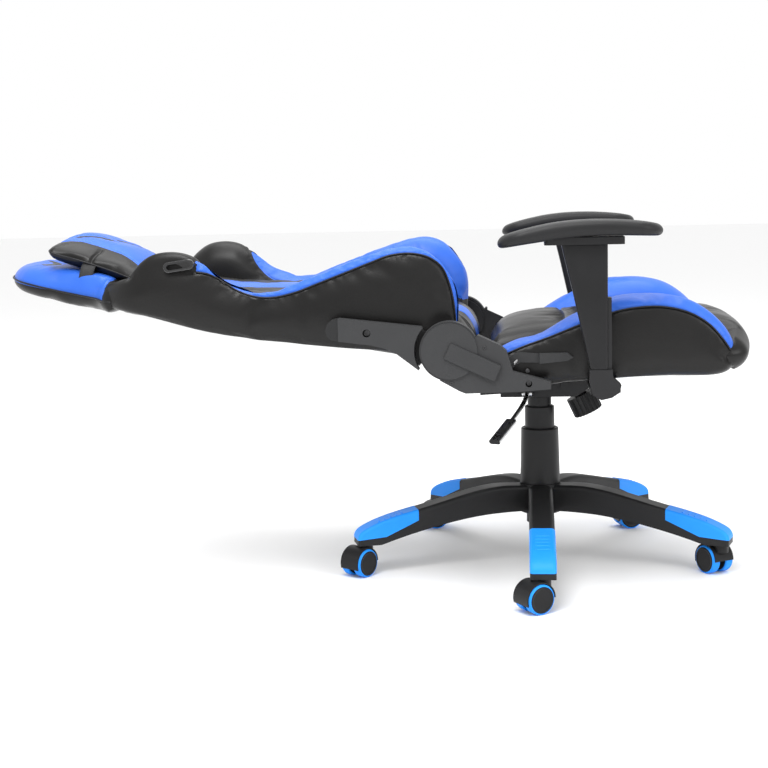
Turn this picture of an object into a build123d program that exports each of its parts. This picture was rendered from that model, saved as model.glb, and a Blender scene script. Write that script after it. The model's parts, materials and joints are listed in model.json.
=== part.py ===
"""Racing-style reclining office chair, laid back flat, in millimetres.

Frame: +X is the way the sitter faces, +Y is the sitter's left, +Z is up. The origin is on the
floor, on the axis of the gas lift. The backrest is drawn in its own plane: u runs from the
recline axis to the head, v stands off the back towards the sitter.
"""

import os
from math import cos, radians, sin, tan

from build123d import *

os.makedirs("parts", exist_ok=True)

# ---------------------------------------------------------------- driving dimensions
DATUM = 11.0  # heights below are drawn from this far under the floor
RIGHT, LEFT = -1, 1  # sign of Y for each side
SIDES = {"right": RIGHT, "left": LEFT}

# five-star base and casters
LEG_ANGLES = [-90, -18, 54, 126, 198]
STEM_CIRCLE_R = 330.0  # from the column to each caster stem
LEG_END_R = 350.0
LEG_WIDTH = 43.0
LEG_WALL = 4.0
LEG_UNDERSIDE_Z = 66.0
HUB_R = 37.0
HUB_BOTTOM_Z, HUB_TOP_Z = 104.0, 157.0
INSERT_THICKNESS = 3.0
INSERT_START_R = 236.0
WHEEL_R = 25.0
WHEEL_HUB_R = 21.8
WHEEL_IN_Y, WHEEL_OUT_Y = 6.0, 23.0
CASTER_TRAIL = 18.0
HOOD_R = 28.0
HOOD_HALF_WIDTH = 20.0
STEM_R = 5.5
AXLE_R = 3.0
RUNNING_GAP = 0.06  # radial clearance of a shaft in its bore
CASTER_TURN = [215, 123, 200, 195, 234]  # rest heading of each trail, degrees from +X

# gas lift and its telescopic cover
CYLINDER_R = 25.0
CYLINDER_Z = (84.0, 188.0)
TUBE_R = 14.0
TUBE_Z = (98.0, 340.0)
ROD_R = 5.0
LIFT_TRAVEL = 90.0
COVER_WALL = 2.0
COVER_LOWER = (36.5, 34.0, 158.2, 259.0)  # bottom radius, top radius, bottom z, top z
COVER_MIDDLE = (27.4, 26.8, 192.0, 299.0)
COVER_UPPER = (22.0, 21.5, 224.0, 318.0)

# seat
SEAT_TILT = 3.3  # nose up, degrees
SEAT_Z = 366.0  # underside of the seat on the column axis
SEAT_HALF_WIDTH = 250.0
SEAT_CORE_HALF_WIDTH = 165.0
FRAME_HALF_WIDTH = 160.0
FRAME_X = (-80.0, 290.0)
FRAME_TUBE = 18.0
CHANNEL_WALL = 3.0

# mechanism
TILT_X, TILT_Z = 45.0, 342.0  # rocking axis
TILT_PIN_R = 5.0
KNOB_LEAN = 25.0  # degrees off vertical
KNOB_R, KNOB_LENGTH = 27.0, 36.0

# recline hinge
HINGE_X, HINGE_Z = -149.0, 432.0
HINGE_CAP_R = 49.0
HINGE_ARC_R = 57.5  # inside of the back's arm, round the hinge
BACK_PLATE_Y = (251.0, 256.0)
SEAT_PLATE_Y = (257.5, 262.5)
COVER_Y = (263.5, 284.0)
CAP_Y = (284.0, 289.0)
PIN_R = 8.0
RECLINE = 10.0  # rise of the laid-back backrest above the horizontal, degrees

# backrest
BACK_HALF_WIDTH = 250.0
WING_INNER_Y = 190.0
FRAME_Y = 232.0  # centre of the back frame's side tubes
HEAD_START_U = 590.0
HEAD_TOP_U = 813.0

# arm rests
ARM_Y = 302.0
PAD_HALF_WIDTH = 40.0
POST_HALF = 11.0
ARM_GAP = 0.4

# ---------------------------------------------------------------- planes and helpers


def side_plane(y):
    """Sketch x is +X and sketch y is +Z, at the given Y; a positive extrusion goes to -Y."""
    return Plane(origin=(0, y, 0), x_dir=(1, 0, 0), z_dir=(0, -1, 0))


def seat_plane(y):
    """As side_plane, but along the tilted underside of the seat."""
    lean = radians(SEAT_TILT)
    return Plane(origin=(0, y, SEAT_Z), x_dir=(cos(lean), 0, sin(lean)), z_dir=(0, -1, 0))


def back_plane(y):
    """Sketch x is u and sketch y is v; a positive extrusion goes to +Y."""
    lean = radians(RECLINE)
    return Plane(origin=(HINGE_X, y, HINGE_Z), x_dir=(-cos(lean), 0, sin(lean)), z_dir=(0, 1, 0))


def back_face(v):
    """Looking at the back from the front: sketch x is u and sketch y is -Y, at height v."""
    lean = radians(RECLINE)
    up = Vector(sin(lean), 0, cos(lean))
    return Plane(
        origin=Vector(HINGE_X, 0, HINGE_Z) + up * v, x_dir=(-cos(lean), 0, sin(lean)), z_dir=up
    )


def radial_plane(angle):
    """Sketch x runs out from the column at this angle, and sketch y is +Z."""
    a = radians(angle)
    return Plane(origin=(0, 0, 0), x_dir=(cos(a), sin(a), 0), z_dir=(sin(a), -cos(a), 0))


def write(builder, name):
    """Set the piece down on the floor and save it."""
    placed = builder.part.moved(Location((0, 0, -DATUM)))
    placed.label = name
    export_step(placed, f"parts/{name}.step")


def underside(x):
    """Height of the seat's underside at X."""
    return SEAT_Z + x * tan(radians(SEAT_TILT))


# ---------------------------------------------------------------- five-star base
LEG_TOP = [(30, 155), (75, 157), (150, 146), (236, 125), (290, 112), (330, 97), (347, 82)]
LEG_BOTTOM = [(LEG_END_R - 3, LEG_UNDERSIDE_Z), (305, LEG_UNDERSIDE_Z), (206, 92), (110, 107), (30, 109)]
CELL_EDGES = [56, 104, 152, 200, 248, 296]


def on_polyline(points, r):
    """Height of a run of (r, z) points at r."""
    ordered = sorted(points)
    for (r0, z0), (r1, z1) in zip(ordered, ordered[1:]):
        if r0 <= r <= r1:
            return z0 + (z1 - z0) * (r - r0) / (r1 - r0)
    raise ValueError(f"no height at {r}")


with BuildPart() as leg:
    with BuildSketch(radial_plane(0)):
        with BuildLine():
            leg_top = Spline(*LEG_TOP, tangents=((1, 0.05), (0.35, -1)))
            Line(leg_top @ 1, LEG_BOTTOM[0])
            Line(LEG_BOTTOM[0], LEG_BOTTOM[1])
            leg_arch = Spline(*LEG_BOTTOM[1:], tangents=((-0.95, 0.3), (-1, 0)))
            Line(leg_arch @ 1, leg_top @ 0)
        make_face()
    extrude(amount=LEG_WIDTH / 2, both=True)
    long_edges = leg.edges().filter_by(GeomType.BSPLINE).group_by(Axis.Z)[-1]
    fillet(long_edges, 7)
    # the seat of the coloured insert: everything above its lower edge, leaving a core
    with BuildSketch(radial_plane(0)):
        Polygon(
            (INSERT_START_R, 140), (INSERT_START_R, 106), (296, 80), (360, 76), (360, 140), align=None
        )
    extrude(amount=LEG_WIDTH, both=True, mode=Mode.SUBTRACT)
    with BuildSketch(radial_plane(0)):
        with BuildLine():
            core_top = Spline(
                *[(r - 1.0, z - INSERT_THICKNESS) for r, z in LEG_TOP[3:]],
                tangents=((1, -0.22), (0.35, -1)),
            )
            Line(core_top @ 1, (LEG_END_R - 4, 74))
            Line((LEG_END_R - 4, 74), (296, 74))
            Line((296, 74), (INSERT_START_R - 1, 100))
            Line((INSERT_START_R - 1, 100), core_top @ 0)
        make_face()
    extrude(amount=LEG_WIDTH / 2 - INSERT_THICKNESS, both=True)
    # open cells between ribs, from below
    for inner, outer in zip(CELL_EDGES, CELL_EDGES[1:]):
        near, far = inner + 1.5, outer - 1.5
        roof = LEG_WALL + 1.5
        with BuildSketch(radial_plane(0)):
            Polygon(
                (near, 50),
                (far, 50),
                (far, on_polyline(LEG_TOP, far) - roof - INSERT_THICKNESS),
                (near, on_polyline(LEG_TOP, near) - roof - INSERT_THICKNESS),
                align=None,
            )
        extrude(amount=LEG_WIDTH / 2 - LEG_WALL - INSERT_THICKNESS, both=True, mode=Mode.SUBTRACT)

with BuildPart() as insert:
    with BuildSketch(radial_plane(0)):
        with BuildLine():
            skin_top = Spline(
                *[(r, z + 0.3) for r, z in LEG_TOP[3:]], tangents=((1, -0.22), (0.35, -1))
            )
            Line(skin_top @ 1, (LEG_END_R - 2, 76.6))
            Line((LEG_END_R - 2, 76.6), (296, 80.2))
            Line((296, 80.2), (INSERT_START_R + 0.2, 106.2))
            Line((INSERT_START_R + 0.2, 106.2), skin_top @ 0)
        make_face()
    extrude(amount=LEG_WIDTH / 2 + 0.3, both=True)
    fillet(insert.edges().filter_by(GeomType.BSPLINE), 6)
    with BuildSketch(radial_plane(0)):
        with BuildLine():
            hollow_top = Spline(
                *[(r - 1.0, z - INSERT_THICKNESS) for r, z in LEG_TOP[3:]],
                tangents=((1, -0.22), (0.35, -1)),
            )
            Line(hollow_top @ 1, (LEG_END_R - 4, 50))
            Line((LEG_END_R - 4, 50), (INSERT_START_R - 1, 50))
            Line((INSERT_START_R - 1, 50), hollow_top @ 0)
        make_face()
    extrude(amount=LEG_WIDTH / 2 - INSERT_THICKNESS, both=True, mode=Mode.SUBTRACT)
    add(leg.part, mode=Mode.SUBTRACT)
    # raised grip ribs across the top
    for step in range(5):
        crest = skin_top @ (0.24 + 0.09 * step)
        with BuildSketch(radial_plane(0)):
            with Locations((crest.X, crest.Y - 0.4)):
                Circle(1.6)
        extrude(amount=12, both=True)

with BuildPart() as star_base:
    with BuildSketch(Plane.XY.offset(HUB_BOTTOM_Z)):
        Circle(HUB_R)
    extrude(amount=HUB_TOP_Z - HUB_BOTTOM_Z)
    for angle in LEG_ANGLES:
        add(leg.part.rotate(Axis.Z, angle))
    with BuildSketch(Plane.XY):
        Circle(CYLINDER_R)
    extrude(amount=300, mode=Mode.SUBTRACT)
    with BuildSketch(Plane.XY):
        with PolarLocations(STEM_CIRCLE_R, 5, start_angle=LEG_ANGLES[0]):
            Circle(STEM_R + RUNNING_GAP)
    extrude(amount=91, mode=Mode.SUBTRACT)
write(star_base, "star_base")

with BuildPart() as leg_inserts:
    for angle in LEG_ANGLES:
        add(insert.part.rotate(Axis.Z, angle))
write(leg_inserts, "leg_inserts")

# ---------------------------------------------------------------- casters
AXLE = (-CASTER_TRAIL, WHEEL_R)  # in the caster's own x and z
WHEEL_WELL_R = WHEEL_R + 1.2
BOSS_R, BOSS_TOP_Z = 13.0, 53.5
STEM_FOOT_Z = 38.0
WEB_HALF = 4.5
PRESS_GAP = 0.03  # keeps a pressed-in steel piece its own solid

with BuildPart() as caster_proto:
    with BuildSketch(Plane.XZ):
        with Locations(AXLE):
            Circle(HOOD_R)
        Polygon((-60, 14), (20, 27), (20, 80), (-60, 80), align=None, mode=Mode.INTERSECT)
    extrude(amount=HOOD_HALF_WIDTH, both=True)
    with BuildSketch(Plane.XY.offset(40)):
        Circle(BOSS_R)
    extrude(amount=BOSS_TOP_Z - 40)
    for side in (-1, 1):
        with BuildSketch(Plane.XZ.offset(side * WEB_HALF)):
            with Locations(AXLE):
                Circle(WHEEL_WELL_R)
        extrude(amount=side * HOOD_R, mode=Mode.SUBTRACT)
    with BuildSketch(Plane.XZ):
        with Locations(AXLE):
            Circle(AXLE_R + 5)
    extrude(amount=WEB_HALF, both=True)
    with BuildSketch(Plane.XZ):
        with Locations(AXLE):
            Circle(AXLE_R + PRESS_GAP)
    extrude(amount=HOOD_R, both=True, mode=Mode.SUBTRACT)
    with BuildSketch(Plane.XY.offset(STEM_FOOT_Z)):
        Circle(STEM_R + PRESS_GAP)
    extrude(amount=40, mode=Mode.SUBTRACT)
    # steel stem, then the axle
    with BuildSketch(Plane.XY.offset(STEM_FOOT_Z + PRESS_GAP)):
        Circle(STEM_R)
    extrude(amount=78 - STEM_FOOT_Z)
    with BuildSketch(Plane.XZ):
        with Locations(AXLE):
            Circle(AXLE_R)
    extrude(amount=21, both=True)

with BuildPart() as wheel_proto:
    with BuildSketch(Plane.XY):
        Polygon(
            (AXLE_R + RUNNING_GAP, WHEEL_IN_Y),
            (WHEEL_HUB_R, WHEEL_IN_Y),
            (WHEEL_HUB_R, WHEEL_OUT_Y - 1),
            (WHEEL_HUB_R - 2, WHEEL_OUT_Y),
            (WHEEL_HUB_R - 5, WHEEL_OUT_Y - 0.8),
            (0, WHEEL_OUT_Y - 0.8),
            (0, 21.3),
            (AXLE_R + RUNNING_GAP, 21.3),
            align=None,
        )
    revolve(axis=Axis.Y)
    inner, outer = WHEEL_HUB_R + PRESS_GAP, WHEEL_R
    with BuildSketch(Plane.XY):
        Polygon(
            (inner, WHEEL_IN_Y + 0.5),
            (outer - 1.5, WHEEL_IN_Y + 0.5),
            (outer, WHEEL_IN_Y + 2),
            (outer, WHEEL_OUT_Y - 3.5),
            (outer - 1, WHEEL_OUT_Y - 1.5),
            (outer - 3, WHEEL_OUT_Y - 0.5),
            (inner, WHEEL_OUT_Y - 0.5),
            align=None,
        )
    revolve(axis=Axis.Y)

for number, (leg_angle, turn) in enumerate(zip(LEG_ANGLES, CASTER_TURN), start=1):
    stem_x = STEM_CIRCLE_R * cos(radians(leg_angle))
    stem_y = STEM_CIRCLE_R * sin(radians(leg_angle))
    place = Location((stem_x, stem_y, DATUM), (0, 0, turn - 180))
    with BuildPart() as caster:
        add(caster_proto.part.moved(place))
    write(caster, f"caster_{number}")
    for letter, flip in (("a", 0), ("b", 180)):
        on_axle = place * Location((-CASTER_TRAIL, 0, WHEEL_R), (0, 0, flip))
        with BuildPart() as wheel:
            add(wheel_proto.part.moved(on_axle))
        write(wheel, f"caster_{number}_wheel_{letter}")

# ---------------------------------------------------------------- gas lift
with BuildPart() as gas_cylinder:
    with BuildSketch(Plane.XY.offset(CYLINDER_Z[0])):
        Circle(CYLINDER_R - 0.02)
    extrude(amount=CYLINDER_Z[1] - CYLINDER_Z[0])
    with BuildSketch(Plane.XY.offset(CYLINDER_Z[0] + 4)):
        Circle(CYLINDER_R - 2)
    extrude(amount=200, mode=Mode.SUBTRACT)
    with BuildSketch(Plane.XY.offset(CYLINDER_Z[0] - 1)):
        Circle(ROD_R + RUNNING_GAP)
    extrude(amount=6, mode=Mode.SUBTRACT)
    # guide bush in the mouth of the tube
    with BuildSketch(Plane.XY.offset(118)):
        Circle(CYLINDER_R - 2 - PRESS_GAP)
        Circle(TUBE_R + RUNNING_GAP, mode=Mode.SUBTRACT)
    extrude(amount=CYLINDER_Z[1] - 119)
write(gas_cylinder, "gas_cylinder")

with BuildPart() as piston_rod:
    with BuildSketch(Plane.XY.offset(CYLINDER_Z[0])):
        Circle(ROD_R)
    extrude(amount=132)
    with BuildSketch(Plane.XY.offset(CYLINDER_Z[0] + 4.2)):
        Circle(12)
    extrude(amount=6)
write(piston_rod, "piston_rod")

with BuildPart() as lift_tube:
    with BuildSketch(Plane.XY.offset(TUBE_Z[0])):
        Circle(TUBE_R)
    extrude(amount=TUBE_Z[1] - TUBE_Z[0])
    with BuildSketch(Plane.XY.offset(TUBE_Z[0] - 1)):
        Circle(ROD_R + RUNNING_GAP)
    extrude(amount=20, mode=Mode.SUBTRACT)
    with BuildSketch(Plane.XY.offset(TUBE_Z[0] + 15)):
        Circle(TUBE_R - 2.5)
    extrude(amount=210, mode=Mode.SUBTRACT)
    # release button on top
    with BuildSketch(Plane.XY.offset(TUBE_Z[1])):
        Circle(4)
    extrude(amount=5)
write(lift_tube, "lift_tube")


def cover(name, bottom_r, top_r, bottom_z, top_z, lip_r):
    """One thin-walled stage of the telescopic cover, with an inward lip at its mouth."""
    with BuildPart() as stage:
        with BuildSketch(Plane.XZ):
            Polygon(
                (bottom_r, bottom_z),
                (top_r, top_z - 1.5),
                (top_r - 1.5, top_z),
                (lip_r, top_z),
                (lip_r, top_z - 3),
                (top_r - COVER_WALL, top_z - 5),
                (bottom_r - COVER_WALL, bottom_z),
                align=None,
            )
        revolve(axis=Axis.Z)
    write(stage, name)


cover("cover_lower", *COVER_LOWER, lip_r=28.4)
cover("cover_middle", *COVER_MIDDLE, lip_r=23.0)
cover("cover_upper", *COVER_UPPER, lip_r=TUBE_R + 0.02)

# ---------------------------------------------------------------- mechanism under the seat
HOUSING_HALF_WIDTH = 54.0
HOUSING_WALL = 3.0
HOUSING_SIDE = [(-70, 322), (64, 322), (82, 334), (100, 346), (84, 352), (45, 351), (-70, 333)]
KNOB_TOP = (70.0, 327.0)  # where the tension bolt leaves the housing, x and z
KNOB_AXIS = (sin(radians(KNOB_LEAN)), -cos(radians(KNOB_LEAN)))
LEVER_PIVOT = (-23.0, -61.0, 330.0)


def knob_plane(distance):
    """Square to the tension bolt, this far down it from the housing."""
    return Plane(
        origin=(KNOB_TOP[0] + KNOB_AXIS[0] * distance, 0, KNOB_TOP[1] + KNOB_AXIS[1] * distance),
        x_dir=(0, 1, 0),
        z_dir=(KNOB_AXIS[0], 0, KNOB_AXIS[1]),
    )


with BuildPart() as mechanism_housing:
    with BuildSketch(side_plane(0)):
        Polygon(*HOUSING_SIDE, align=None)
    extrude(amount=HOUSING_HALF_WIDTH, both=True)
    with BuildSketch(side_plane(0)):
        Polygon(
            (-67, 325), (63, 325), (81, 337), (95, 346), (95, 370), (-67, 370), align=None
        )
    extrude(amount=HOUSING_HALF_WIDTH - HOUSING_WALL, both=True, mode=Mode.SUBTRACT)
    # socket for the tapered top of the lift tube
    with BuildSketch(Plane.XY.offset(319)):
        Circle(TUBE_R + 6)
    extrude(amount=17)
    # bearing sleeve for the rocking pin
    with BuildSketch(side_plane(0)):
        with Locations((TILT_X, TILT_Z)):
            Circle(TILT_PIN_R + 4)
    extrude(amount=HOUSING_HALF_WIDTH, both=True)
    with BuildSketch(side_plane(0)):
        with Locations((TILT_X, TILT_Z)):
            Circle(TILT_PIN_R + RUNNING_GAP)
    extrude(amount=HOUSING_HALF_WIDTH + 5, both=True, mode=Mode.SUBTRACT)
    # neck for the tension bolt
    with BuildSketch(knob_plane(-9)):
        Circle(11)
    extrude(amount=15)
    with BuildSketch(knob_plane(-10)):
        Circle(5 + RUNNING_GAP)
    extrude(amount=20, mode=Mode.SUBTRACT)
    with BuildSketch(Plane.XY.offset(300)):
        Circle(TUBE_R + 0.02)
    extrude(amount=60, mode=Mode.SUBTRACT)
    # two lugs and a pin for the height lever
    for x in (-36, -13):
        with BuildSketch(Plane.YZ.offset(x)):
            with Locations((LEVER_PIVOT[1], LEVER_PIVOT[2])):
                Circle(6)
            with Locations((LEVER_PIVOT[1] + 5, LEVER_PIVOT[2])):
                Rectangle(10, 8)
        extrude(amount=3)
    with BuildSketch(Plane.YZ.offset(-36)):
        with Locations((LEVER_PIVOT[1], LEVER_PIVOT[2])):
            Circle(2.5)
    extrude(amount=26)
write(mechanism_housing, "mechanism_housing")

with BuildPart() as seat_plate:
    with BuildSketch(seat_plane(0)):
        Polygon((-86, -3), (150, -3), (150, 0), (-86, 0), align=None)
    extrude(amount=100, both=True)
    with BuildSketch(seat_plane(0).offset(HOUSING_HALF_WIDTH + 1)):
        Polygon((10, -2), (92, -2), (68, -32), (34, -32), align=None)
    extrude(amount=3)
    mirror(about=Plane.XZ, mode=Mode.ADD)
    with BuildSketch(side_plane(0)):
        with Locations((TILT_X, TILT_Z)):
            Circle(TILT_PIN_R + 0.02)
    extrude(amount=80, both=True, mode=Mode.SUBTRACT)
write(seat_plate, "seat_plate")

with BuildPart() as rocker_pin:
    with BuildSketch(side_plane(0)):
        with Locations((TILT_X, TILT_Z)):
            Circle(TILT_PIN_R)
    extrude(amount=HOUSING_HALF_WIDTH + 6, both=True)
    for side in (-1, 1):
        with BuildSketch(side_plane(side * (HOUSING_HALF_WIDTH + 4.2))):
            with Locations((TILT_X, TILT_Z)):
                Circle(TILT_PIN_R + 3)
        extrude(amount=-side * 3.5)
write(rocker_pin, "rocker_pin")

with BuildPart() as tension_knob:
    with BuildSketch(knob_plane(9)):
        Circle(KNOB_R)
        with PolarLocations(KNOB_R, 20):
            Circle(2.2, mode=Mode.SUBTRACT)
    extrude(amount=KNOB_LENGTH)
    chamfer(tension_knob.faces().sort_by(Axis.Z)[0].edges(), 2)
    with BuildSketch(knob_plane(7)):
        Circle(12)
    extrude(amount=2)
    with BuildSketch(knob_plane(-12)):
        Circle(5)
    extrude(amount=22)
write(tension_knob, "tension_knob")

LEVER_PATH = [
    LEVER_PIVOT,
    (-24, -82, 327),
    (-30, -112, 318),
    (-42, -148, 305),
    (-60, -186, 286),
]
with BuildPart() as lift_lever:
    with BuildLine() as lever_line:
        Spline(*LEVER_PATH)
    with BuildSketch(Plane(origin=lever_line.line @ 0, z_dir=lever_line.line % 0)):
        Circle(4)
    sweep(path=lever_line.line)
    with BuildSketch(Plane.YZ.offset(LEVER_PIVOT[0] - 9)):
        with Locations((LEVER_PIVOT[1], LEVER_PIVOT[2])):
            Circle(6)
    extrude(amount=18)
    with BuildSketch(Plane.YZ.offset(-60)):
        with Locations((LEVER_PIVOT[1], LEVER_PIVOT[2])):
            Circle(2.5 + RUNNING_GAP)
    extrude(amount=80, mode=Mode.SUBTRACT)
    # flat moulded handle on the end of the rod
    handle_run = Vector(-34, -56, -34).normalized()
    with BuildSketch(Plane(origin=(-50, -165, 297), x_dir=(0.8, -0.6, 0), z_dir=handle_run)):
        RectangleRounded(22, 9, 4)
    extrude(amount=62)
write(lift_lever, "lift_lever")

# ---------------------------------------------------------------- seat
frame_mid = (FRAME_X[0] + FRAME_X[1]) / 2
frame_span = FRAME_X[1] - FRAME_X[0]
with BuildPart() as seat_frame:
    with BuildSketch(Plane(seat_plane(0).origin, x_dir=seat_plane(0).x_dir, z_dir=seat_plane(0).y_dir)):
        with Locations((frame_mid, 0)):
            RectangleRounded(frame_span, 2 * FRAME_HALF_WIDTH, 30)
            RectangleRounded(
                frame_span - 2 * FRAME_TUBE,
                2 * (FRAME_HALF_WIDTH - FRAME_TUBE),
                14,
                mode=Mode.SUBTRACT,
            )
        for x in (-45, 105):
            with Locations((x, 0)):
                Rectangle(24, 2 * FRAME_HALF_WIDTH - FRAME_TUBE)
    extrude(amount=FRAME_TUBE)
    # the rails are pressed channels, open above
    with BuildSketch(
        Plane(
            seat_plane(0).origin + seat_plane(0).y_dir * CHANNEL_WALL,
            x_dir=seat_plane(0).x_dir,
            z_dir=seat_plane(0).y_dir,
        )
    ):
        with Locations((frame_mid, 0)):
            RectangleRounded(frame_span - 2 * CHANNEL_WALL, 2 * (FRAME_HALF_WIDTH - CHANNEL_WALL), 27)
            RectangleRounded(
                frame_span - 2 * FRAME_TUBE + 2 * CHANNEL_WALL,
                2 * (FRAME_HALF_WIDTH - FRAME_TUBE + CHANNEL_WALL),
                17,
                mode=Mode.SUBTRACT,
            )
    extrude(amount=FRAME_TUBE, mode=Mode.SUBTRACT)
    # cups for the ends of the hinge and arm brackets' bolts
    with BuildSketch(Plane(seat_plane(0).origin, x_dir=seat_plane(0).x_dir, z_dir=seat_plane(0).y_dir)):
        for x, y in ((-45, 130), (105, 130), (-45, -130), (105, -130)):
            with Locations((x, y)):
                Circle(4)
    extrude(amount=FRAME_TUBE, mode=Mode.SUBTRACT)
write(seat_frame, "seat_frame")

with BuildPart() as seat_webbing:
    with BuildSketch(
        Plane(
            seat_plane(0).origin + seat_plane(0).y_dir * FRAME_TUBE,
            x_dir=seat_plane(0).x_dir,
            z_dir=seat_plane(0).y_dir,
        )
    ):
        for x in (-20, 55, 130, 205, 262):
            with Locations((x, 0)):
                Rectangle(38, 2 * FRAME_HALF_WIDTH - 6)
        for y in (-90, -30, 30, 90):
            with Locations((frame_mid, y)):
                Rectangle(frame_span - 6, 38)
        with Locations((frame_mid, 0)):
            RectangleRounded(frame_span - 1, 2 * FRAME_HALF_WIDTH - 1, 30, mode=Mode.INTERSECT)
    extrude(amount=2)
write(seat_webbing, "seat_webbing")

# the seat's profile from the side, x and z
CUSHION_TOP = [(-92, 448), (-61, 456), (-2, 462), (70, 462), (160, 462), (230, 467), (290, 471)]
CUSHION_NOSE = [(290, 471), (330, 460), (362, 432), (368, 412), (352, 392), (315, 384)]
CUSHION_REAR = [(-100, 372), (-94, 395), (-88, 425), (-92, 448)]
BOLSTER_TOP = [
    (-56, 441), (-5, 450), (56, 480), (120, 506), (160, 512), (201, 511), (243, 500), (278, 470), (300, 432),
]
BOLSTER_SPLIT_X = 306.0

with BuildPart() as seat_cushion:
    with BuildSketch(side_plane(0)):
        with BuildLine():
            cushion_top = Spline(*CUSHION_TOP, tangents=((1, 0.4), (1, -0.15)))
            cushion_nose = Spline(*CUSHION_NOSE, tangents=((1, -0.15), (-1, -0.12)))
            Line(cushion_nose @ 1, (-100, underside(-100)))
            Line((-100, underside(-100)), CUSHION_REAR[0])
            Spline(*CUSHION_REAR, tangents=((0.1, 1), (0.2, 1)))
        make_face()
    extrude(amount=SEAT_HALF_WIDTH - 4, both=True)
    # plan: straight between the bolsters, then full width and bowed at the front
    with BuildSketch(Plane.XY.offset(300)):
        with BuildLine():
            Line((-110, -SEAT_CORE_HALF_WIDTH), (BOLSTER_SPLIT_X, -SEAT_CORE_HALF_WIDTH))
            Line((BOLSTER_SPLIT_X, -SEAT_CORE_HALF_WIDTH), (BOLSTER_SPLIT_X, -246))
            Line((BOLSTER_SPLIT_X, -246), (326, -246))
            Spline((326, -246), (350, -225), (366, -120), (370, 0), (366, 120), (350, 225), (326, 246))
            Line((326, 246), (BOLSTER_SPLIT_X, 246))
            Line((BOLSTER_SPLIT_X, 246), (BOLSTER_SPLIT_X, SEAT_CORE_HALF_WIDTH))
            Line((BOLSTER_SPLIT_X, SEAT_CORE_HALF_WIDTH), (-110, SEAT_CORE_HALF_WIDTH))
            Line((-110, SEAT_CORE_HALF_WIDTH), (-110, -SEAT_CORE_HALF_WIDTH))
        make_face()
    extrude(amount=300, mode=Mode.INTERSECT)
    # the corner shoulders of the nose fall away to the sides
    for side in (-1, 1):
        with BuildSketch(Plane.YZ.offset(BOLSTER_SPLIT_X - 1)):
            shoulder = [(170, 500), (170, 470), (246, 436), (300, 436), (300, 500)]
            Polygon(*[(side * y, z) for y, z in shoulder], align=None)
        extrude(amount=120, mode=Mode.SUBTRACT)
    # pocket for the frame and webbing
    with BuildSketch(Plane(seat_plane(0).origin, x_dir=seat_plane(0).x_dir, z_dir=seat_plane(0).y_dir)):
        with Locations((frame_mid, 0)):
            RectangleRounded(frame_span, 2 * FRAME_HALF_WIDTH, 30)
    extrude(amount=FRAME_TUBE + 2, mode=Mode.SUBTRACT)
    with BuildSketch(Plane(seat_plane(0).origin, x_dir=seat_plane(0).x_dir, z_dir=-seat_plane(0).y_dir)):
        with Locations((frame_mid, 0)):
            Rectangle(900, 900)
    extrude(amount=60, mode=Mode.SUBTRACT)
write(seat_cushion, "seat_cushion")

with BuildPart() as bolster:
    with BuildSketch(side_plane(-SEAT_CORE_HALF_WIDTH)):
        with BuildLine():
            bolster_top = Spline(*BOLSTER_TOP, tangents=((1, 0.1), (0.45, -1)))
            Line(bolster_top @ 1, (BOLSTER_SPLIT_X, underside(BOLSTER_SPLIT_X)))
            Line((BOLSTER_SPLIT_X, underside(BOLSTER_SPLIT_X)), (-66, underside(-66)))
            Line((-66, underside(-66)), bolster_top @ 0)
        make_face()
    extrude(amount=SEAT_HALF_WIDTH - SEAT_CORE_HALF_WIDTH)
    top_edges = bolster.edges().filter_by(GeomType.BSPLINE)
    fillet(top_edges.sort_by(Axis.Y)[0], 14)
    top_edges = bolster.edges().filter_by(GeomType.BSPLINE)
    chamfer(top_edges.sort_by(Axis.Y)[-1], 12)

for name, side in SIDES.items():
    with BuildPart() as seat_bolster:
        add(bolster.part if side == RIGHT else bolster.part.mirror(Plane.XZ))
    write(seat_bolster, f"seat_bolster_{name}")

# ---------------------------------------------------------------- arm rests
PAD_TOP = [(-69, 606), (-45, 625), (13, 638), (61, 643), (116, 643), (167, 635), (188, 627), (194, 620)]
PAD_BOTTOM = [(188, 614), (116, 616), (61, 614.5), (6, 609), (-63, 598.5), (-69, 606)]
SLEEVE_OUTLINE = [(32, 606), (47, 544), (61, 481), (78, 404), (106, 404), (106, 606)]
POST = (84.0, 103.0, 404.0, 572.0)  # x from, x to, z of the sleeve's foot, z of the post's top
RIB = (103.0, 112.0, 518.0)  # x from, x to, top of the rib that shows at the front
SLEEVE_HALF = 17.0
BUTTON_AT = (74.0, 588.0)  # x and z of the height button, on the side facing the sitter

with BuildPart() as arm_bracket_proto:
    # flat foot under the seat, bent up into the post
    with BuildSketch(Plane.XZ.offset(-104)):
        Polygon((78, 362.5), (126, 365.5), (126, 370.5), (78, 367.5), align=None)
    extrude(amount=-(ARM_Y + POST_HALF - 104))
    with BuildSketch(side_plane(ARM_Y - POST_HALF)):
        Polygon(
            (78, 362.5), (126, 365.5), (126, 372), (112, 392), (112, RIB[2]), (103, RIB[2]),
            (103, POST[3]), (84, POST[3]), (84, 392), (78, 372), align=None,
        )
    extrude(amount=-2 * POST_HALF)
    # moulded boot over the bend
    with BuildSketch(side_plane(ARM_Y)):
        Polygon(
            (77, 403), (113, 403), (114, 390), (127, 378), (124, 366), (112, 358), (95, 354), (82, 362),
            (77, 380), align=None,
        )
    extrude(amount=SLEEVE_HALF - 0.5, both=True)
    # bolt holes up into the seat frame
    with BuildSketch(Plane.XY.offset(300)):
        with Locations((105, 130)):
            Circle(4)
    extrude(amount=100, mode=Mode.SUBTRACT)

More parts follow.
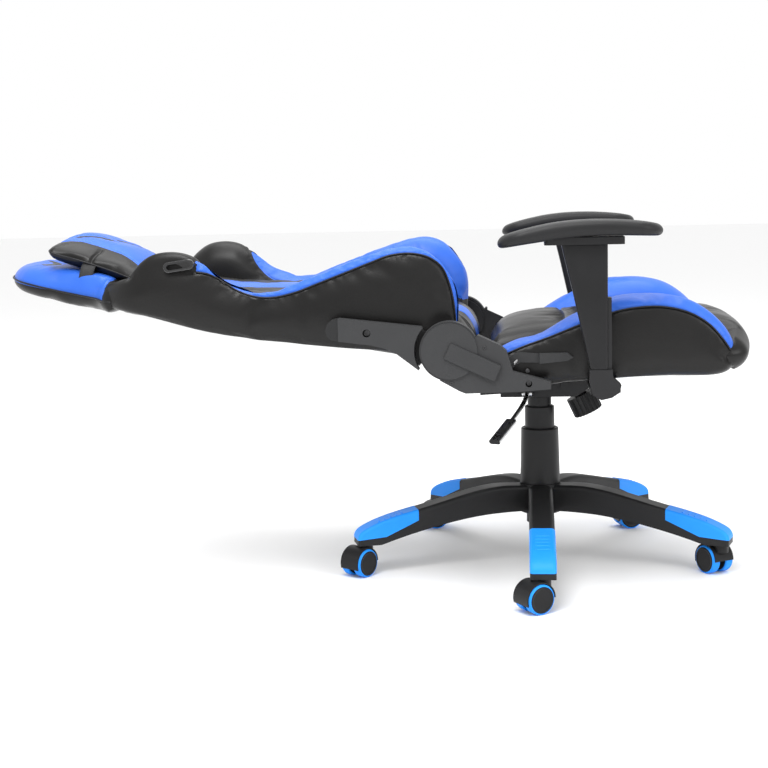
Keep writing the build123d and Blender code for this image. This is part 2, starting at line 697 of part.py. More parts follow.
with BuildPart() as arm_sleeve_proto:
    with BuildSketch(side_plane(ARM_Y)):
        Polygon(*SLEEVE_OUTLINE, align=None)
    extrude(amount=SLEEVE_HALF, both=True)
    upright_edges = arm_sleeve_proto.edges().filter_by(lambda e: e.length > 50)
    fillet(upright_edges.filter_by(lambda e: abs(e.tangent_at(0).Y) < 0.1), 5)
    with BuildSketch(side_plane(ARM_Y)):
        Polygon(
            (POST[0] - ARM_GAP, 400), (POST[1] + ARM_GAP, 400), (POST[1] + ARM_GAP, 574),
            (POST[0] - ARM_GAP, 574), align=None,
        )
    extrude(amount=POST_HALF + ARM_GAP, both=True, mode=Mode.SUBTRACT)
    # open front, where the rib runs
    with BuildSketch(side_plane(ARM_Y)):
        Polygon((100, 400), (120, 400), (120, RIB[2] + 1), (100, RIB[2] + 1), align=None)
    extrude(amount=POST_HALF + ARM_GAP, both=True, mode=Mode.SUBTRACT)
    # plate that the pad screws to
    with BuildSketch(Plane.XY.offset(603)):
        with Locations((69, ARM_Y)):
            RectangleRounded(126, 62, 8)
    extrude(amount=11.5)
    # pocket for the height button
    with BuildSketch(side_plane(ARM_Y - 5)):
        with Locations(BUTTON_AT):
            RectangleRounded(20.6, 10.6, 3)
    extrude(amount=20, mode=Mode.SUBTRACT)

with BuildPart() as arm_button_proto:
    with BuildSketch(side_plane(ARM_Y - 9)):
        with Locations(BUTTON_AT):
            RectangleRounded(20, 10, 2.7)
    extrude(amount=12)

with BuildPart() as arm_pad_proto:
    with BuildSketch(side_plane(ARM_Y)):
        with BuildLine():
            pad_top = Spline(*PAD_TOP)
            Polyline(pad_top @ 1, *PAD_BOTTOM)
        make_face()
    extrude(amount=PAD_HALF_WIDTH, both=True)
    with BuildSketch(Plane.XY.offset(560)):
        with Locations((62.5, ARM_Y)):
            SlotOverall(263, 2 * PAD_HALF_WIDTH)
    extrude(amount=120, mode=Mode.INTERSECT)
    # recess for the plate
    with BuildSketch(Plane.XY.offset(580)):
        with Locations((69, ARM_Y)):
            RectangleRounded(126.4, 62.4, 8.2)
    extrude(amount=34.5, mode=Mode.SUBTRACT)

for name, side in SIDES.items():
    for kind, proto in (
        ("arm_bracket", arm_bracket_proto),
        ("arm_sleeve", arm_sleeve_proto),
        ("arm_button", arm_button_proto),
        ("arm_pad", arm_pad_proto),
    ):
        with BuildPart() as arm_piece:
            add(proto.part if side == LEFT else proto.part.mirror(Plane.XZ))
        write(arm_piece, f"{kind}_{name}")

# ---------------------------------------------------------------- recline hinge
LOWER_COVER = [
    (-102, 458), (-66, 441), (-55.5, 431), (-45.5, 397), (16, 380), (16, 368),
    (-38, 364), (-123, 362), (-133, 366), (-165, 384),
]
UPPER_COVER = [
    (-352, 468), (-349, 479), (-341, 486), (-330, 488), (-194, 472.5), (-170, 440), (-190, 412),
    (-199.5, 401), (-236, 429), (-253, 437), (-276.5, 443), (-331, 450), (-344, 453), (-350, 459),
]
COVER_SKIN = 2.5
LEVER_AXIS = (-62.0, 404.0)


def slab(points, y_from, y_to, mode=Mode.ADD):
    """A plate with this side profile on the right of the chair, between two distances from the middle."""
    with BuildSketch(side_plane(-y_from)) as profile:
        Polygon(*points, align=None)
    extrude(profile.sketch, amount=y_to - y_from, dir=(0, -1, 0), mode=mode)


def disc(x, z, r, y_from, y_to, mode=Mode.ADD):
    """A round plate or hole across the right side of the chair."""
    with BuildSketch(side_plane(-y_from)) as profile:
        with Locations((x, z)):
            Circle(r)
    extrude(profile.sketch, amount=y_to - y_from, dir=(0, -1, 0), mode=mode)


def inset(points, amount):
    """The same side profile, drawn in by a wall's thickness."""
    with BuildSketch(mode=Mode.PRIVATE) as shrunk:
        Polygon(*points, align=None)
        offset(amount=-amount, kind=Kind.INTERSECTION)
    return shrunk.sketch


with BuildPart() as seat_bracket_proto:
    with BuildSketch(side_plane(-SEAT_PLATE_Y[0])):
        add(inset(LOWER_COVER, 3.2))
    extrude(amount=SEAT_PLATE_Y[1] - SEAT_PLATE_Y[0])
    disc(HINGE_X, HINGE_Z, HINGE_CAP_R - 3.2, *SEAT_PLATE_Y)
    slab([(-100, 356.2), (-100, 368), (8, 374), (8, 362.4)], *SEAT_PLATE_Y)
    slab([(-100, 356.2), (-100, 360.2), (8, 366.4), (8, 362.4)], 104, SEAT_PLATE_Y[0] + 1)
    disc(HINGE_X, HINGE_Z, PIN_R, SEAT_PLATE_Y[0] - 1, SEAT_PLATE_Y[1] + 1, Mode.SUBTRACT)
    disc(*LEVER_AXIS, 4, SEAT_PLATE_Y[0] - 1, SEAT_PLATE_Y[1] + 1, Mode.SUBTRACT)
    with BuildSketch(Plane.XY.offset(300)):
        with Locations((-45, -130)):
            Circle(4)
    extrude(amount=100, mode=Mode.SUBTRACT)

with BuildPart() as seat_cover_proto:
    slab(LOWER_COVER, *COVER_Y)
    disc(HINGE_X, HINGE_Z, HINGE_CAP_R, *COVER_Y)
    with BuildSketch(side_plane(-COVER_Y[0])):
        add(inset(LOWER_COVER, COVER_SKIN))
    extrude(amount=COVER_Y[1] - COVER_Y[0] - COVER_SKIN, mode=Mode.SUBTRACT)
    disc(HINGE_X, HINGE_Z, HINGE_CAP_R - COVER_SKIN, COVER_Y[0], COVER_Y[1] - COVER_SKIN, Mode.SUBTRACT)
    disc(HINGE_X, HINGE_Z, PIN_R + 1, COVER_Y[0], COVER_Y[1], Mode.SUBTRACT)
    disc(-20, 377, 5.5, COVER_Y[0], COVER_Y[1], Mode.SUBTRACT)

with BuildPart() as hinge_cap_proto:
    disc(HINGE_X, HINGE_Z, PIN_R - 0.03, BACK_PLATE_Y[0] - 0.6, CAP_Y[0] + 1)
    disc(HINGE_X, HINGE_Z, HINGE_CAP_R - 3, CAP_Y[0], CAP_Y[0] + 3.5)
    bar_lean = -25.0
    with BuildSketch(side_plane(-CAP_Y[0])):
        with Locations((-111, 414)):
            Rectangle(90, 28, rotation=bar_lean)
    extrude(amount=CAP_Y[1] - CAP_Y[0] + 1.5)

with BuildPart() as back_bracket_proto:
    with BuildSketch(side_plane(-BACK_PLATE_Y[0])):
        add(inset(UPPER_COVER, 3.2))
        with Locations((HINGE_X, HINGE_Z)):
            Circle(HINGE_CAP_R - 6)
        Polygon((-200, 462), (-150, 466), (-150, 395), (-200, 410), align=None)
    extrude(amount=BACK_PLATE_Y[1] - BACK_PLATE_Y[0])
    disc(HINGE_X, HINGE_Z, PIN_R + RUNNING_GAP, BACK_PLATE_Y[0] - 1, BACK_PLATE_Y[1] + 1, Mode.SUBTRACT)
    # spacers that carry the outer cover
    for x, z in ((-222, 452), (-320, 469)):
        disc(x, z, 7, BACK_PLATE_Y[1] - 1, COVER_Y[0])
    for x, z in ((-250, 452), (-300, 462)):
        disc(x, z, 4, BACK_PLATE_Y[0] - 1, BACK_PLATE_Y[1] + 1, Mode.SUBTRACT)

with BuildPart() as back_cover_proto:
    slab(UPPER_COVER, *COVER_Y)
    with BuildSketch(side_plane(-COVER_Y[0])):
        add(inset(UPPER_COVER, COVER_SKIN))
    extrude(amount=COVER_Y[1] - COVER_Y[0] - COVER_SKIN, mode=Mode.SUBTRACT)
    # wall of the hollow that follows the disc
    disc(HINGE_X, HINGE_Z, HINGE_ARC_R + COVER_SKIN, *COVER_Y)
    slab([(-140, 300), (-60, 300), (-60, 600), (-140, 600)], *COVER_Y, Mode.SUBTRACT)
    with BuildSketch(side_plane(-COVER_Y[0])):
        Polygon(*UPPER_COVER, align=None)
    extrude(amount=COVER_Y[1] - COVER_Y[0], mode=Mode.INTERSECT)
    disc(HINGE_X, HINGE_Z, HINGE_ARC_R, COVER_Y[0], COVER_Y[1], Mode.SUBTRACT)
    disc(-284, 463, 6.5, COVER_Y[0], COVER_Y[1], Mode.SUBTRACT)
    # the rounded end stands a little lower
    end = [(-360, 440), (-331, 440), (-331, 500), (-360, 500)]
    slab(end, COVER_Y[1] - 1.5, COVER_Y[1] + 1, Mode.SUBTRACT)

for name, side in SIDES.items():
    for kind, proto in (
        ("seat_bracket", seat_bracket_proto),
        ("seat_bracket_cover", seat_cover_proto),
        ("hinge_cap", hinge_cap_proto),
        ("back_bracket", back_bracket_proto),
        ("back_bracket_cover", back_cover_proto),
    ):
        with BuildPart() as hinge_piece:
            add(proto.part if side == RIGHT else proto.part.mirror(Plane.XZ))
            # the left cover has no lever to reach over, so it is cut down in front of the hinge
            if kind == "seat_bracket_cover" and side == LEFT:
                slab([(-99, 445), (-60, 425), (-60, 480), (-99, 480)], -300, -200, Mode.SUBTRACT)
        write(hinge_piece, f"{kind}_{name}")

with BuildPart() as recline_lever:
    slab([(-70, 411), (-36, 426), (2, 423), (2, 408), (-34, 409), (-58, 392), (-70, 396)], 251, 255)
    slab([(-2, 424), (43, 425), (53, 417), (43, 411.5), (-2, 407)], 251, 262)
    disc(*LEVER_AXIS, 4 - RUNNING_GAP, 250.6, SEAT_PLATE_Y[1] + 0.5)
    disc(*LEVER_AXIS, 8, 250.6, 256.5)
write(recline_lever, "recline_lever")

# ---------------------------------------------------------------- backrest
# seen from the side, x and z
WING_TOP = [
    (-137, 482), (-141, 514), (-153, 550), (-167, 574), (-186, 592), (-210, 599), (-247, 597),
    (-312, 578), (-384, 551), (-438, 533), (-467, 529), (-492, 533), (-528, 547), (-562, 576),
    (-587, 593), (-616, 599), (-649, 594), (-673, 579), (-694, 558),
]
WING_END = [(-694, 558), (-735, 541), (-742, 507)]
UNDERSIDE = [
    (-742, 507), (-667, 487), (-610, 472), (-552, 458), (-421, 444), (-330, 432), (-255, 424),
    (-200, 417),
]
WING_FOOT = [(-200, 417), (-172, 396), (-148, 393), (-137, 412), (-135, 450), (-137, 482)]
# off the back's own plane, u and v
PAD_FACE = [
    (-6, 53), (18, 56), (46, 68), (100, 72), (180, 62), (280, 43), (380, 27), (480, 20),
    (HEAD_START_U, 18),
]
PAD_FOOT = [(-34, -30), (-47, -6), (-45, 19), (-30, 41), (-6, 53)]
HEAD_FACE = [(HEAD_START_U, 18), (660, 19), (720, 20), (765, 17), (796, 6), (HEAD_TOP_U, -8)]
HEAD_BACK = [(HEAD_TOP_U, -8), (800, -19), (748, -24), (666, -33), (HEAD_START_U, -35)]
BACK_OUTLINE = [
    (540, 250), (575, 236), (592, 212), (612, 182), (645, 162), (690, 152), (735, 146), (775, 124),
    (803, 84), (HEAD_TOP_U, 30), (HEAD_TOP_U, 0),
]
FRAME_V = (-17.0, 1.0)
STRAP_U = (641.0, 666.0)
STRAP_SIZE = (292.0, 49.0)  # inside of the elastic round the headrest
STRAP_MID_V = -8.0
STRAP_THICKNESS = 2.0


PILLOW_HALF_WIDTH = 142.0
PILLOW_TOP = [(556, 30), (566, 50), (606, 68), (650, 73), (695, 64), (740, 42), (760, 26)]
GROMMET_AT = (-600.0, 577.0)
GROMMET_SIZE = (53.0, 18.0)
GROMMET_DEPTH = 9.0
GROMMET_TURN = -8.0
HINGE_BOLTS = [(-250, 452), (-300, 462)]


def back_section(u):
    """Square across the back at u: sketch x is -Y and sketch y is v; a positive extrusion adds to u."""
    lean = radians(RECLINE)
    along = Vector(-cos(lean), 0, sin(lean))
    return Plane(origin=Vector(HINGE_X, 0, HINGE_Z) + along * u, x_dir=(0, -1, 0), z_dir=along)


def outline_points():
    """The backrest from the front, right and left halves joined at the head."""
    right = [(-80, BACK_HALF_WIDTH)] + BACK_OUTLINE
    return right + [(u, -y) for u, y in reversed(right)]



with BuildPart() as back_frame:
    with BuildSketch(back_face(FRAME_V[0])):
        for side in (-1, 1):
            with Locations((285, side * FRAME_Y)):
                Rectangle(470, 20)
        with Locations((635, 0)):
            Rectangle(270, 200)
            Rectangle(230, 160, mode=Mode.SUBTRACT)
        for u in (60, 330, 510):
            with Locations((u, 0)):
                Rectangle(20, 2 * FRAME_Y)
    extrude(amount=FRAME_V[1] - FRAME_V[0])
    # pressed channel, open at the rear
    with BuildSketch(back_face(FRAME_V[0])):
        for side in (-1, 1):
            with Locations((285, side * FRAME_Y)):
                Rectangle(470 - 2 * CHANNEL_WALL, 20 - 2 * CHANNEL_WALL)
        for u in (60, 330, 510):
            with Locations((u, 0)):
                Rectangle(20 - 2 * CHANNEL_WALL, 2 * FRAME_Y)
    extrude(amount=FRAME_V[1] - FRAME_V[0] - CHANNEL_WALL, mode=Mode.SUBTRACT)
    # bolts out to the hinge brackets
    for side in (-1, 1):
        for x, z in HINGE_BOLTS:
            with BuildSketch(side_plane(side * FRAME_Y)):
                with Locations((x, z)):
                    Circle(3.97)
            extrude(amount=-side * (BACK_PLATE_Y[1] - FRAME_Y))
write(back_frame, "back_frame")

with BuildPart() as strap_ring:
    with BuildSketch(back_section(STRAP_U[0])):
        with Locations((0, STRAP_MID_V)):
            RectangleRounded(STRAP_SIZE[0] + 2 * STRAP_THICKNESS, STRAP_SIZE[1] + 2 * STRAP_THICKNESS, 16)
            RectangleRounded(*STRAP_SIZE, 14, mode=Mode.SUBTRACT)
    extrude(amount=STRAP_U[1] - STRAP_U[0])
write(strap_ring, "pillow_strap")

with BuildPart() as back_shape:
    with BuildSketch(back_face(-150)):
        Polygon(*outline_points(), align=None)
    extrude(amount=500)

with BuildPart() as back_pad:
    with BuildSketch(back_plane(-WING_INNER_Y)):
        with BuildLine():
            pad_face = Spline(*PAD_FACE, tangents=((1, 0.05), (1, 0)))
            Line(pad_face @ 1, (HEAD_START_U, -35))
            Line((HEAD_START_U, -35), (300, -32))
            Line((300, -32), PAD_FOOT[0])
            Spline(*PAD_FOOT, tangents=((-0.6, 0.6), (1, 0.05)))
        make_face()
    extrude(amount=2 * WING_INNER_Y)
    add(back_frame.part, mode=Mode.SUBTRACT)
write(back_pad, "back_pad")

with BuildPart() as wing_proto:
    with BuildSketch(side_plane(-WING_INNER_Y)):
        with BuildLine():
            Polyline(*WING_TOP, *WING_END[1:], *UNDERSIDE[1:], *WING_FOOT[1:])
        make_face()
    extrude(amount=BACK_HALF_WIDTH - WING_INNER_Y)
    fillet(wing_proto.faces().sort_by(Axis.Y)[0].edges(), 12)
    fillet(wing_proto.faces().sort_by(Axis.Y)[-1].edges(), 16)
    add(back_shape.part, mode=Mode.INTERSECT)
    with BuildSketch(back_face(-150)):
        with Locations((HEAD_START_U + 250, 0)):
            Rectangle(500, 800)
    extrude(amount=500, mode=Mode.SUBTRACT)
    # pocket for the belt-hole bezel
    with BuildSketch(side_plane(-BACK_HALF_WIDTH + GROMMET_DEPTH)):
        with Locations(GROMMET_AT):
            SlotOverall(GROMMET_SIZE[0] - 6, GROMMET_SIZE[1] - 4, rotation=-GROMMET_TURN)
    extrude(amount=30, mode=Mode.SUBTRACT)
    add(back_frame.part, mode=Mode.SUBTRACT)
    disc(HINGE_X, HINGE_Z, PIN_R + 1, BACK_PLATE_Y[0] - 3, BACK_PLATE_Y[0], Mode.SUBTRACT)

with BuildPart() as grommet_proto:
    with BuildSketch(side_plane(-BACK_HALF_WIDTH)):
        with Locations(GROMMET_AT):
            SlotOverall(*GROMMET_SIZE, rotation=-GROMMET_TURN)
    extrude(amount=4)
    fillet(grommet_proto.faces().sort_by(Axis.Y)[0].edges(), 2)
    with BuildSketch(side_plane(-BACK_HALF_WIDTH + GROMMET_DEPTH)):
        with Locations(GROMMET_AT):
            SlotOverall(GROMMET_SIZE[0] - 6, GROMMET_SIZE[1] - 4, rotation=-GROMMET_TURN)
    extrude(amount=GROMMET_DEPTH)
    with BuildSketch(side_plane(-BACK_HALF_WIDTH + GROMMET_DEPTH - 2)):
        with Locations(GROMMET_AT):
            SlotOverall(GROMMET_SIZE[0] - 12, GROMMET_SIZE[1] - 9, rotation=-GROMMET_TURN)
    extrude(amount=40, mode=Mode.SUBTRACT)

with BuildPart() as belt_grommets:
    add(grommet_proto.part)
    mirror(about=Plane.XZ)
write(belt_grommets, "belt_grommets")

for name, side in SIDES.items():
    with BuildPart() as back_wing:
        add(wing_proto.part if side == RIGHT else wing_proto.part.mirror(Plane.XZ))
    write(back_wing, f"back_wing_{name}")

with BuildPart() as headrest:
    with BuildSketch(back_plane(-BACK_HALF_WIDTH)):
        with BuildLine():
            Spline(*HEAD_FACE, tangents=((1, 0), (0.2, -1)))
            Spline(*HEAD_BACK, tangents=((-0.2, -1), (-1, 0)))
            Line(HEAD_BACK[-1], HEAD_FACE[0])
        make_face()
    extrude(amount=2 * BACK_HALF_WIDTH)
    add(back_shape.part, mode=Mode.INTERSECT)
    add(strap_ring.part, mode=Mode.SUBTRACT)
    add(back_frame.part, mode=Mode.SUBTRACT)
write(headrest, "headrest")

with BuildPart() as pillow:
    with BuildSketch(back_plane(-PILLOW_HALF_WIDTH)):
        Polygon(*PILLOW_TOP, (745, 22), (574, 21), align=None)
    extrude(amount=2 * PILLOW_HALF_WIDTH)
    fillet(pillow.faces().sort_by(Axis.Y)[0].edges(), 3)
    fillet(pillow.faces().sort_by(Axis.Y)[-1].edges(), 3)
write(pillow, "pillow")
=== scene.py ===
"""Studio view of a racing-style office chair, laid back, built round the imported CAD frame.

Metres, in the row frame: +X is the way the sitter faces, +Y the sitter's left, +Z up. Outlines are
written in millimetres and scaled by MM, with heights drawn from DATUM under the floor.
"""

import json
from math import cos, pi, radians, sin

import bmesh
import bpy
import numpy as np
from mathutils import Matrix, Vector
from mathutils.geometry import delaunay_2d_cdt


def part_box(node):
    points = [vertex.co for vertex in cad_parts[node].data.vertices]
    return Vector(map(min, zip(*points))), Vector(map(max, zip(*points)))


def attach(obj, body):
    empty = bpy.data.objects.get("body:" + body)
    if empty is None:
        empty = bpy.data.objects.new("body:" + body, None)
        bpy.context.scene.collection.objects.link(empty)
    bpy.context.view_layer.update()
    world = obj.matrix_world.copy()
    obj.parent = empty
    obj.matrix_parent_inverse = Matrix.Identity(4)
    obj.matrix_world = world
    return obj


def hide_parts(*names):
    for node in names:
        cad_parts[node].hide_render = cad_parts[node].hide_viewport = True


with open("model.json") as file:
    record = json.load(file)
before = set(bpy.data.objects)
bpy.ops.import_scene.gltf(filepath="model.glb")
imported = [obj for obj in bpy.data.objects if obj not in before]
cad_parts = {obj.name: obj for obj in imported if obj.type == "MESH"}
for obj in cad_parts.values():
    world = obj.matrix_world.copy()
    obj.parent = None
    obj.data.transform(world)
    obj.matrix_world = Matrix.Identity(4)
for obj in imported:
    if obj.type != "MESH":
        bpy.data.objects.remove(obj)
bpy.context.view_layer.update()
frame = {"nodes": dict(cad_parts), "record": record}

MM = 0.001
DATUM = 11.0
RIGHT, LEFT = -1, 1
WORD = {RIGHT: "right", LEFT: "left"}

# the hinge, and the backrest's own directions: u towards the head, v towards the sitter
HINGE = Vector((-0.149, 0, (432 - DATUM) * MM))
RECLINE = radians(10)
ALONG = Vector((-cos(RECLINE), 0, sin(RECLINE)))
OFF = Vector((sin(RECLINE), 0, cos(RECLINE)))


# ------------------------------------------------------------------ materials
def new_material(name, colour, rough, metal=0.0, coat=0.0, coat_rough=0.2, spec=0.5):
    """A principled material with its constants on the shader's own sockets."""
    mat = bpy.data.materials.new(name)
    mat.use_nodes = True
    shader = mat.node_tree.nodes["Principled BSDF"]
    shader.inputs["Base Color"].default_value = (*colour, 1)
    shader.inputs["Roughness"].default_value = rough
    shader.inputs["Metallic"].default_value = metal
    shader.inputs["Coat Weight"].default_value = coat
    shader.inputs["Coat Roughness"].default_value = coat_rough
    shader.inputs["Specular IOR Level"].default_value = spec
    return mat


def node(mat, kind, **values):
    made = mat.node_tree.nodes.new(kind)
    for key, value in values.items():
        if key in made.inputs:
            made.inputs[key].default_value = value
        else:
            setattr(made, key, value)
    return made


def join(mat, a, out, b, into):
    mat.node_tree.links.new(a.outputs[out], b.inputs[into])


def grain(mat, scale, strength, distance, kind="voronoi", detail=2.0):
    """Bump from a noise or cell pattern in object space, stacked on any earlier bump."""
    shader = mat.node_tree.nodes["Principled BSDF"]
    place = node(mat, "ShaderNodeTexCoord")
    if kind == "voronoi":
        pattern = node(mat, "ShaderNodeTexVoronoi", Scale=scale)
        out = "Distance"
    else:
        pattern = node(mat, "ShaderNodeTexNoise", Scale=scale, Detail=detail)
        out = "Fac"
    bump = node(mat, "ShaderNodeBump", Strength=strength, Distance=distance)
    join(mat, place, "Object", pattern, "Vector")
    join(mat, pattern, out, bump, "Height")
    earlier = shader.inputs["Normal"].links
    if earlier:
        mat.node_tree.links.new(earlier[0].from_socket, bump.inputs["Normal"])
    mat.node_tree.links.new(bump.outputs["Normal"], shader.inputs["Normal"])
    return mat


def worn(mat, colour_a, colour_b, rough_a, rough_b, scale=9.0):
    """Slow change of colour and gloss over a surface, as handling leaves."""
    shader = mat.node_tree.nodes["Principled BSDF"]
    place = node(mat, "ShaderNodeTexCoord")
    clouds = node(mat, "ShaderNodeTexNoise", Scale=scale, Detail=3.0)
    colours = node(mat, "ShaderNodeMix", data_type="RGBA")
    colours.inputs["A"].default_value = (*colour_a, 1)
    colours.inputs["B"].default_value = (*colour_b, 1)
    rough = node(mat, "ShaderNodeMapRange")
    rough.inputs["From Min"].default_value = 0.35
    rough.inputs["From Max"].default_value = 0.65
    rough.inputs["To Min"].default_value = rough_a
    rough.inputs["To Max"].default_value = rough_b
    join(mat, place, "Object", clouds, "Vector")
    join(mat, clouds, "Fac", colours, "Factor")
    join(mat, clouds, "Fac", rough, "Value")
    mat.node_tree.links.new(colours.outputs["Result"], shader.inputs["Base Color"])
    mat.node_tree.links.new(rough.outputs["Result"], shader.inputs["Roughness"])
    return mat


def leather(name, dark, light, rough):
    mat = new_material(name, dark, rough, coat=0.06, coat_rough=0.3, spec=0.22)
    worn(mat, dark, light, rough - 0.05, rough + 0.07)
    grain(mat, 420.0, 0.16, 0.0006)
    grain(mat, 60.0, 0.12, 0.0012, kind="noise")
    return mat


def plastic(name, dark, light, rough, cell=900.0, strength=0.12):
    mat = new_material(name, dark, rough, spec=0.20)
    worn(mat, dark, light, rough - 0.04, rough + 0.06, scale=14.0)
    grain(mat, cell, strength, 0.0004)
    return mat


BLACK_LEATHER = leather("leather_black", (0.0045, 0.0044, 0.0043), (0.0075, 0.007, 0.0068), 0.36)
BLUE_LEATHER = leather("leather_blue", (0.024, 0.105, 0.50), (0.032, 0.128, 0.58), 0.38)
PIPING = leather("piping_black", (0.008, 0.008, 0.010), (0.012, 0.012, 0.014), 0.45)
PLUG = plastic(
    "plug_plastic", (0.016, 0.0162, 0.017), (0.021, 0.0213, 0.022), 0.50, cell=1100.0, strength=0.35
)
NYLON = plastic("nylon_black", (0.012, 0.012, 0.0125), (0.018, 0.018, 0.019), 0.42)
SKY = plastic("insert_blue", (0.01, 0.25, 0.90), (0.02, 0.30, 0.96), 0.45, cell=1200.0)
SMOOTH = plastic(
    "cover_black", (0.010, 0.010, 0.0105), (0.014, 0.014, 0.015), 0.36, cell=1500.0, strength=0.05
)
CASTER = plastic(
    "caster_black", (0.009, 0.009, 0.0095), (0.014, 0.014, 0.015), 0.33, cell=1500.0, strength=0.05
)
GREY = plastic(
    "hinge_plastic", (0.030, 0.0305, 0.032), (0.040, 0.0405, 0.042), 0.52, cell=1100.0, strength=0.35
)
PAD = plastic("pad_black", (0.012, 0.012, 0.0125), (0.017, 0.017, 0.018), 0.40, cell=1300.0, strength=0.10)
GLOSS = new_material("gloss_black", (0.008, 0.008, 0.009), 0.16, coat=0.4, coat_rough=0.1)
grain(GLOSS, 40.0, 0.04, 0.0006, kind="noise")
COAT = plastic("frame_steel", (0.014, 0.014, 0.015), (0.020, 0.020, 0.021), 0.45, cell=700.0, strength=0.2)
STEEL = new_material("bright_steel", (0.55, 0.55, 0.56), 0.28, metal=1.0)
worn(STEEL, (0.50, 0.50, 0.51), (0.62, 0.62, 0.62), 0.24, 0.36, scale=30.0)
DARK_STEEL = new_material("screw_black", (0.06, 0.06, 0.062), 0.28, metal=0.8)
grain(DARK_STEEL, 900.0, 0.1, 0.0003)
WEB = grain(new_material("webbing", (0.018, 0.018, 0.019), 0.85), 700.0, 0.7, 0.0008)
STRAP = grain(new_material("strap_black", (0.014, 0.014, 0.015), 0.75), 800.0, 0.6, 0.0006)

BY_SLOT = {
    "nylon_black": NYLON,
    "insert_blue": SKY,
    "caster_black": CASTER,
    "wheel_black": CASTER,
    "lift_steel": COAT,
    "bright_steel": STEEL,
    "cover_black": SMOOTH,
    "frame_steel": COAT,
    "hinge_plastic": GREY,
    "pad_black": PAD,
    "webbing": WEB,
    "leather_black": BLACK_LEATHER,
    "leather_blue": BLUE_LEATHER,
    "strap_black": STRAP,
    "gloss_black": GLOSS,
}
for part in frame["record"]["subparts"]:
    cad = frame["nodes"][part["node"]]
    cad.data.materials.clear()
    cad.data.materials.append(BY_SLOT[part["material_slot"]])

TREAD_RADIUS = 22.2 * MM
CASTER_TURNS = (215, 123, 200, 195, 234)
PLUG_FROM_X = -0.3315
HANDLE_FROM_Y = -0.205


def repaint(cad, mat, chosen):
    """A second material on the faces whose middles pass the test."""
    cad.data.materials.append(mat)
    for face in cad.data.polygons:
        if chosen(cad.matrix_world @ face.center):
            face.material_index = 1


# each wheel is a black disc with a blue tread
for number, turn in enumerate(CASTER_TURNS, 1):
    across = Vector((-sin(radians(turn)), cos(radians(turn)), 0))
    for end in "ab":
        wheel = frame["nodes"][f"caster_{number}_wheel_{end}"]
        low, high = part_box(f"caster_{number}_wheel_{end}")
        hub = (Vector(low) + Vector(high)) / 2

        def on_tread(spot):
            off = spot - hub
            off -= across * off.dot(across)
            return off.length > TREAD_RADIUS

        repaint(wheel, SKY, on_tread)

# the outer end of each hinge cover is a separate dark plug, and the recline lever is grey plastic
for word in WORD.values():
    repaint(frame["nodes"][f"back_bracket_cover_{word}"], PLUG, lambda spot: spot.x < PLUG_FROM_X)
frame["nodes"]["recline_lever"].data.materials[0] = GREY

# the height lever is a bright rod with a dark moulded handle
repaint(frame["nodes"]["lift_lever"], SMOOTH, lambda spot: spot.y < HANDLE_FROM_Y)


# ------------------------------------------------------------------ shaping tools
def smooth_line(points, count):
    """count points along a centripetal Catmull-Rom curve through the given ones."""
    pts = np.array(points, float)
    pts = np.vstack([2 * pts[0] - pts[1], pts, 2 * pts[-1] - pts[-2]])
    dense = []
    for p0, p1, p2, p3 in zip(pts, pts[1:], pts[2:], pts[3:]):
        t0 = 0.0
        t1 = t0 + max(np.linalg.norm(p1 - p0), 1e-9) ** 0.5
        t2 = t1 + max(np.linalg.norm(p2 - p1), 1e-9) ** 0.5
        t3 = t2 + max(np.linalg.norm(p3 - p2), 1e-9) ** 0.5
        for t in np.linspace(t1, t2, 16, endpoint=False):
            a1 = (t1 - t) / (t1 - t0) * p0 + (t - t0) / (t1 - t0) * p1
            a2 = (t2 - t) / (t2 - t1) * p1 + (t - t1) / (t2 - t1) * p2
            a3 = (t3 - t) / (t3 - t2) * p2 + (t - t2) / (t3 - t2) * p3
            b1 = (t2 - t) / (t2 - t0) * a1 + (t - t0) / (t2 - t0) * a2
            b2 = (t3 - t) / (t3 - t1) * a2 + (t - t1) / (t3 - t1) * a3
            dense.append((t2 - t) / (t2 - t1) * b1 + (t - t1) / (t2 - t1) * b2)
    dense.append(pts[-2])
    return evenly(np.array(dense), count)


def evenly(line, count):
    """The same line with count points an even distance apart."""
    steps = np.r_[0, np.cumsum(np.linalg.norm(np.diff(line, axis=0), axis=1))]
    at = np.linspace(0, steps[-1], count)
    return np.stack([np.interp(at, steps, line[:, k]) for k in range(line.shape[1])], axis=1)


def closed_evenly(line, gap):
    """A closed outline resampled to about this gap, without a repeated last point."""
    ring = np.vstack([line, line[:1]])
    length = np.linalg.norm(np.diff(ring, axis=0), axis=1).sum()
    return evenly(ring, max(int(length / gap), 8))[:-1]


def away(points, line, closed=False):
    """Distance of each point from a line."""
    line = np.asarray(line, float)
    if closed:
        line = np.vstack([line, line[:1]])
    best = np.full(len(points), 1e9)
    for a, b in zip(line, line[1:]):
        ab = b - a
        t = np.clip(((points - a) @ ab) / max(ab @ ab, 1e-12), 0, 1)
        best = np.minimum(best, np.linalg.norm(points - a - t[:, None] * ab, axis=1))
    return best


def inside(points, ring):
    """Which points lie inside a closed outline."""
    x, y = points[:, 0], points[:, 1]
    hit = np.zeros(len(points), bool)
    for (x0, y0), (x1, y1) in zip(ring, np.roll(ring, -1, axis=0)):
        if y0 == y1:
            continue
        crosses = (y0 > y) != (y1 > y)
        hit ^= crosses & (x < (x1 - x0) * (y - y0) / (y1 - y0) + x0)
    return hit


def rim(d, reach):
    """0 at the outline, rising like a quarter circle to 1 at this reach."""
    t = np.clip(d / reach, 0, 1)
    return np.sqrt(np.clip(1 - (1 - t) ** 2, 0, 1))


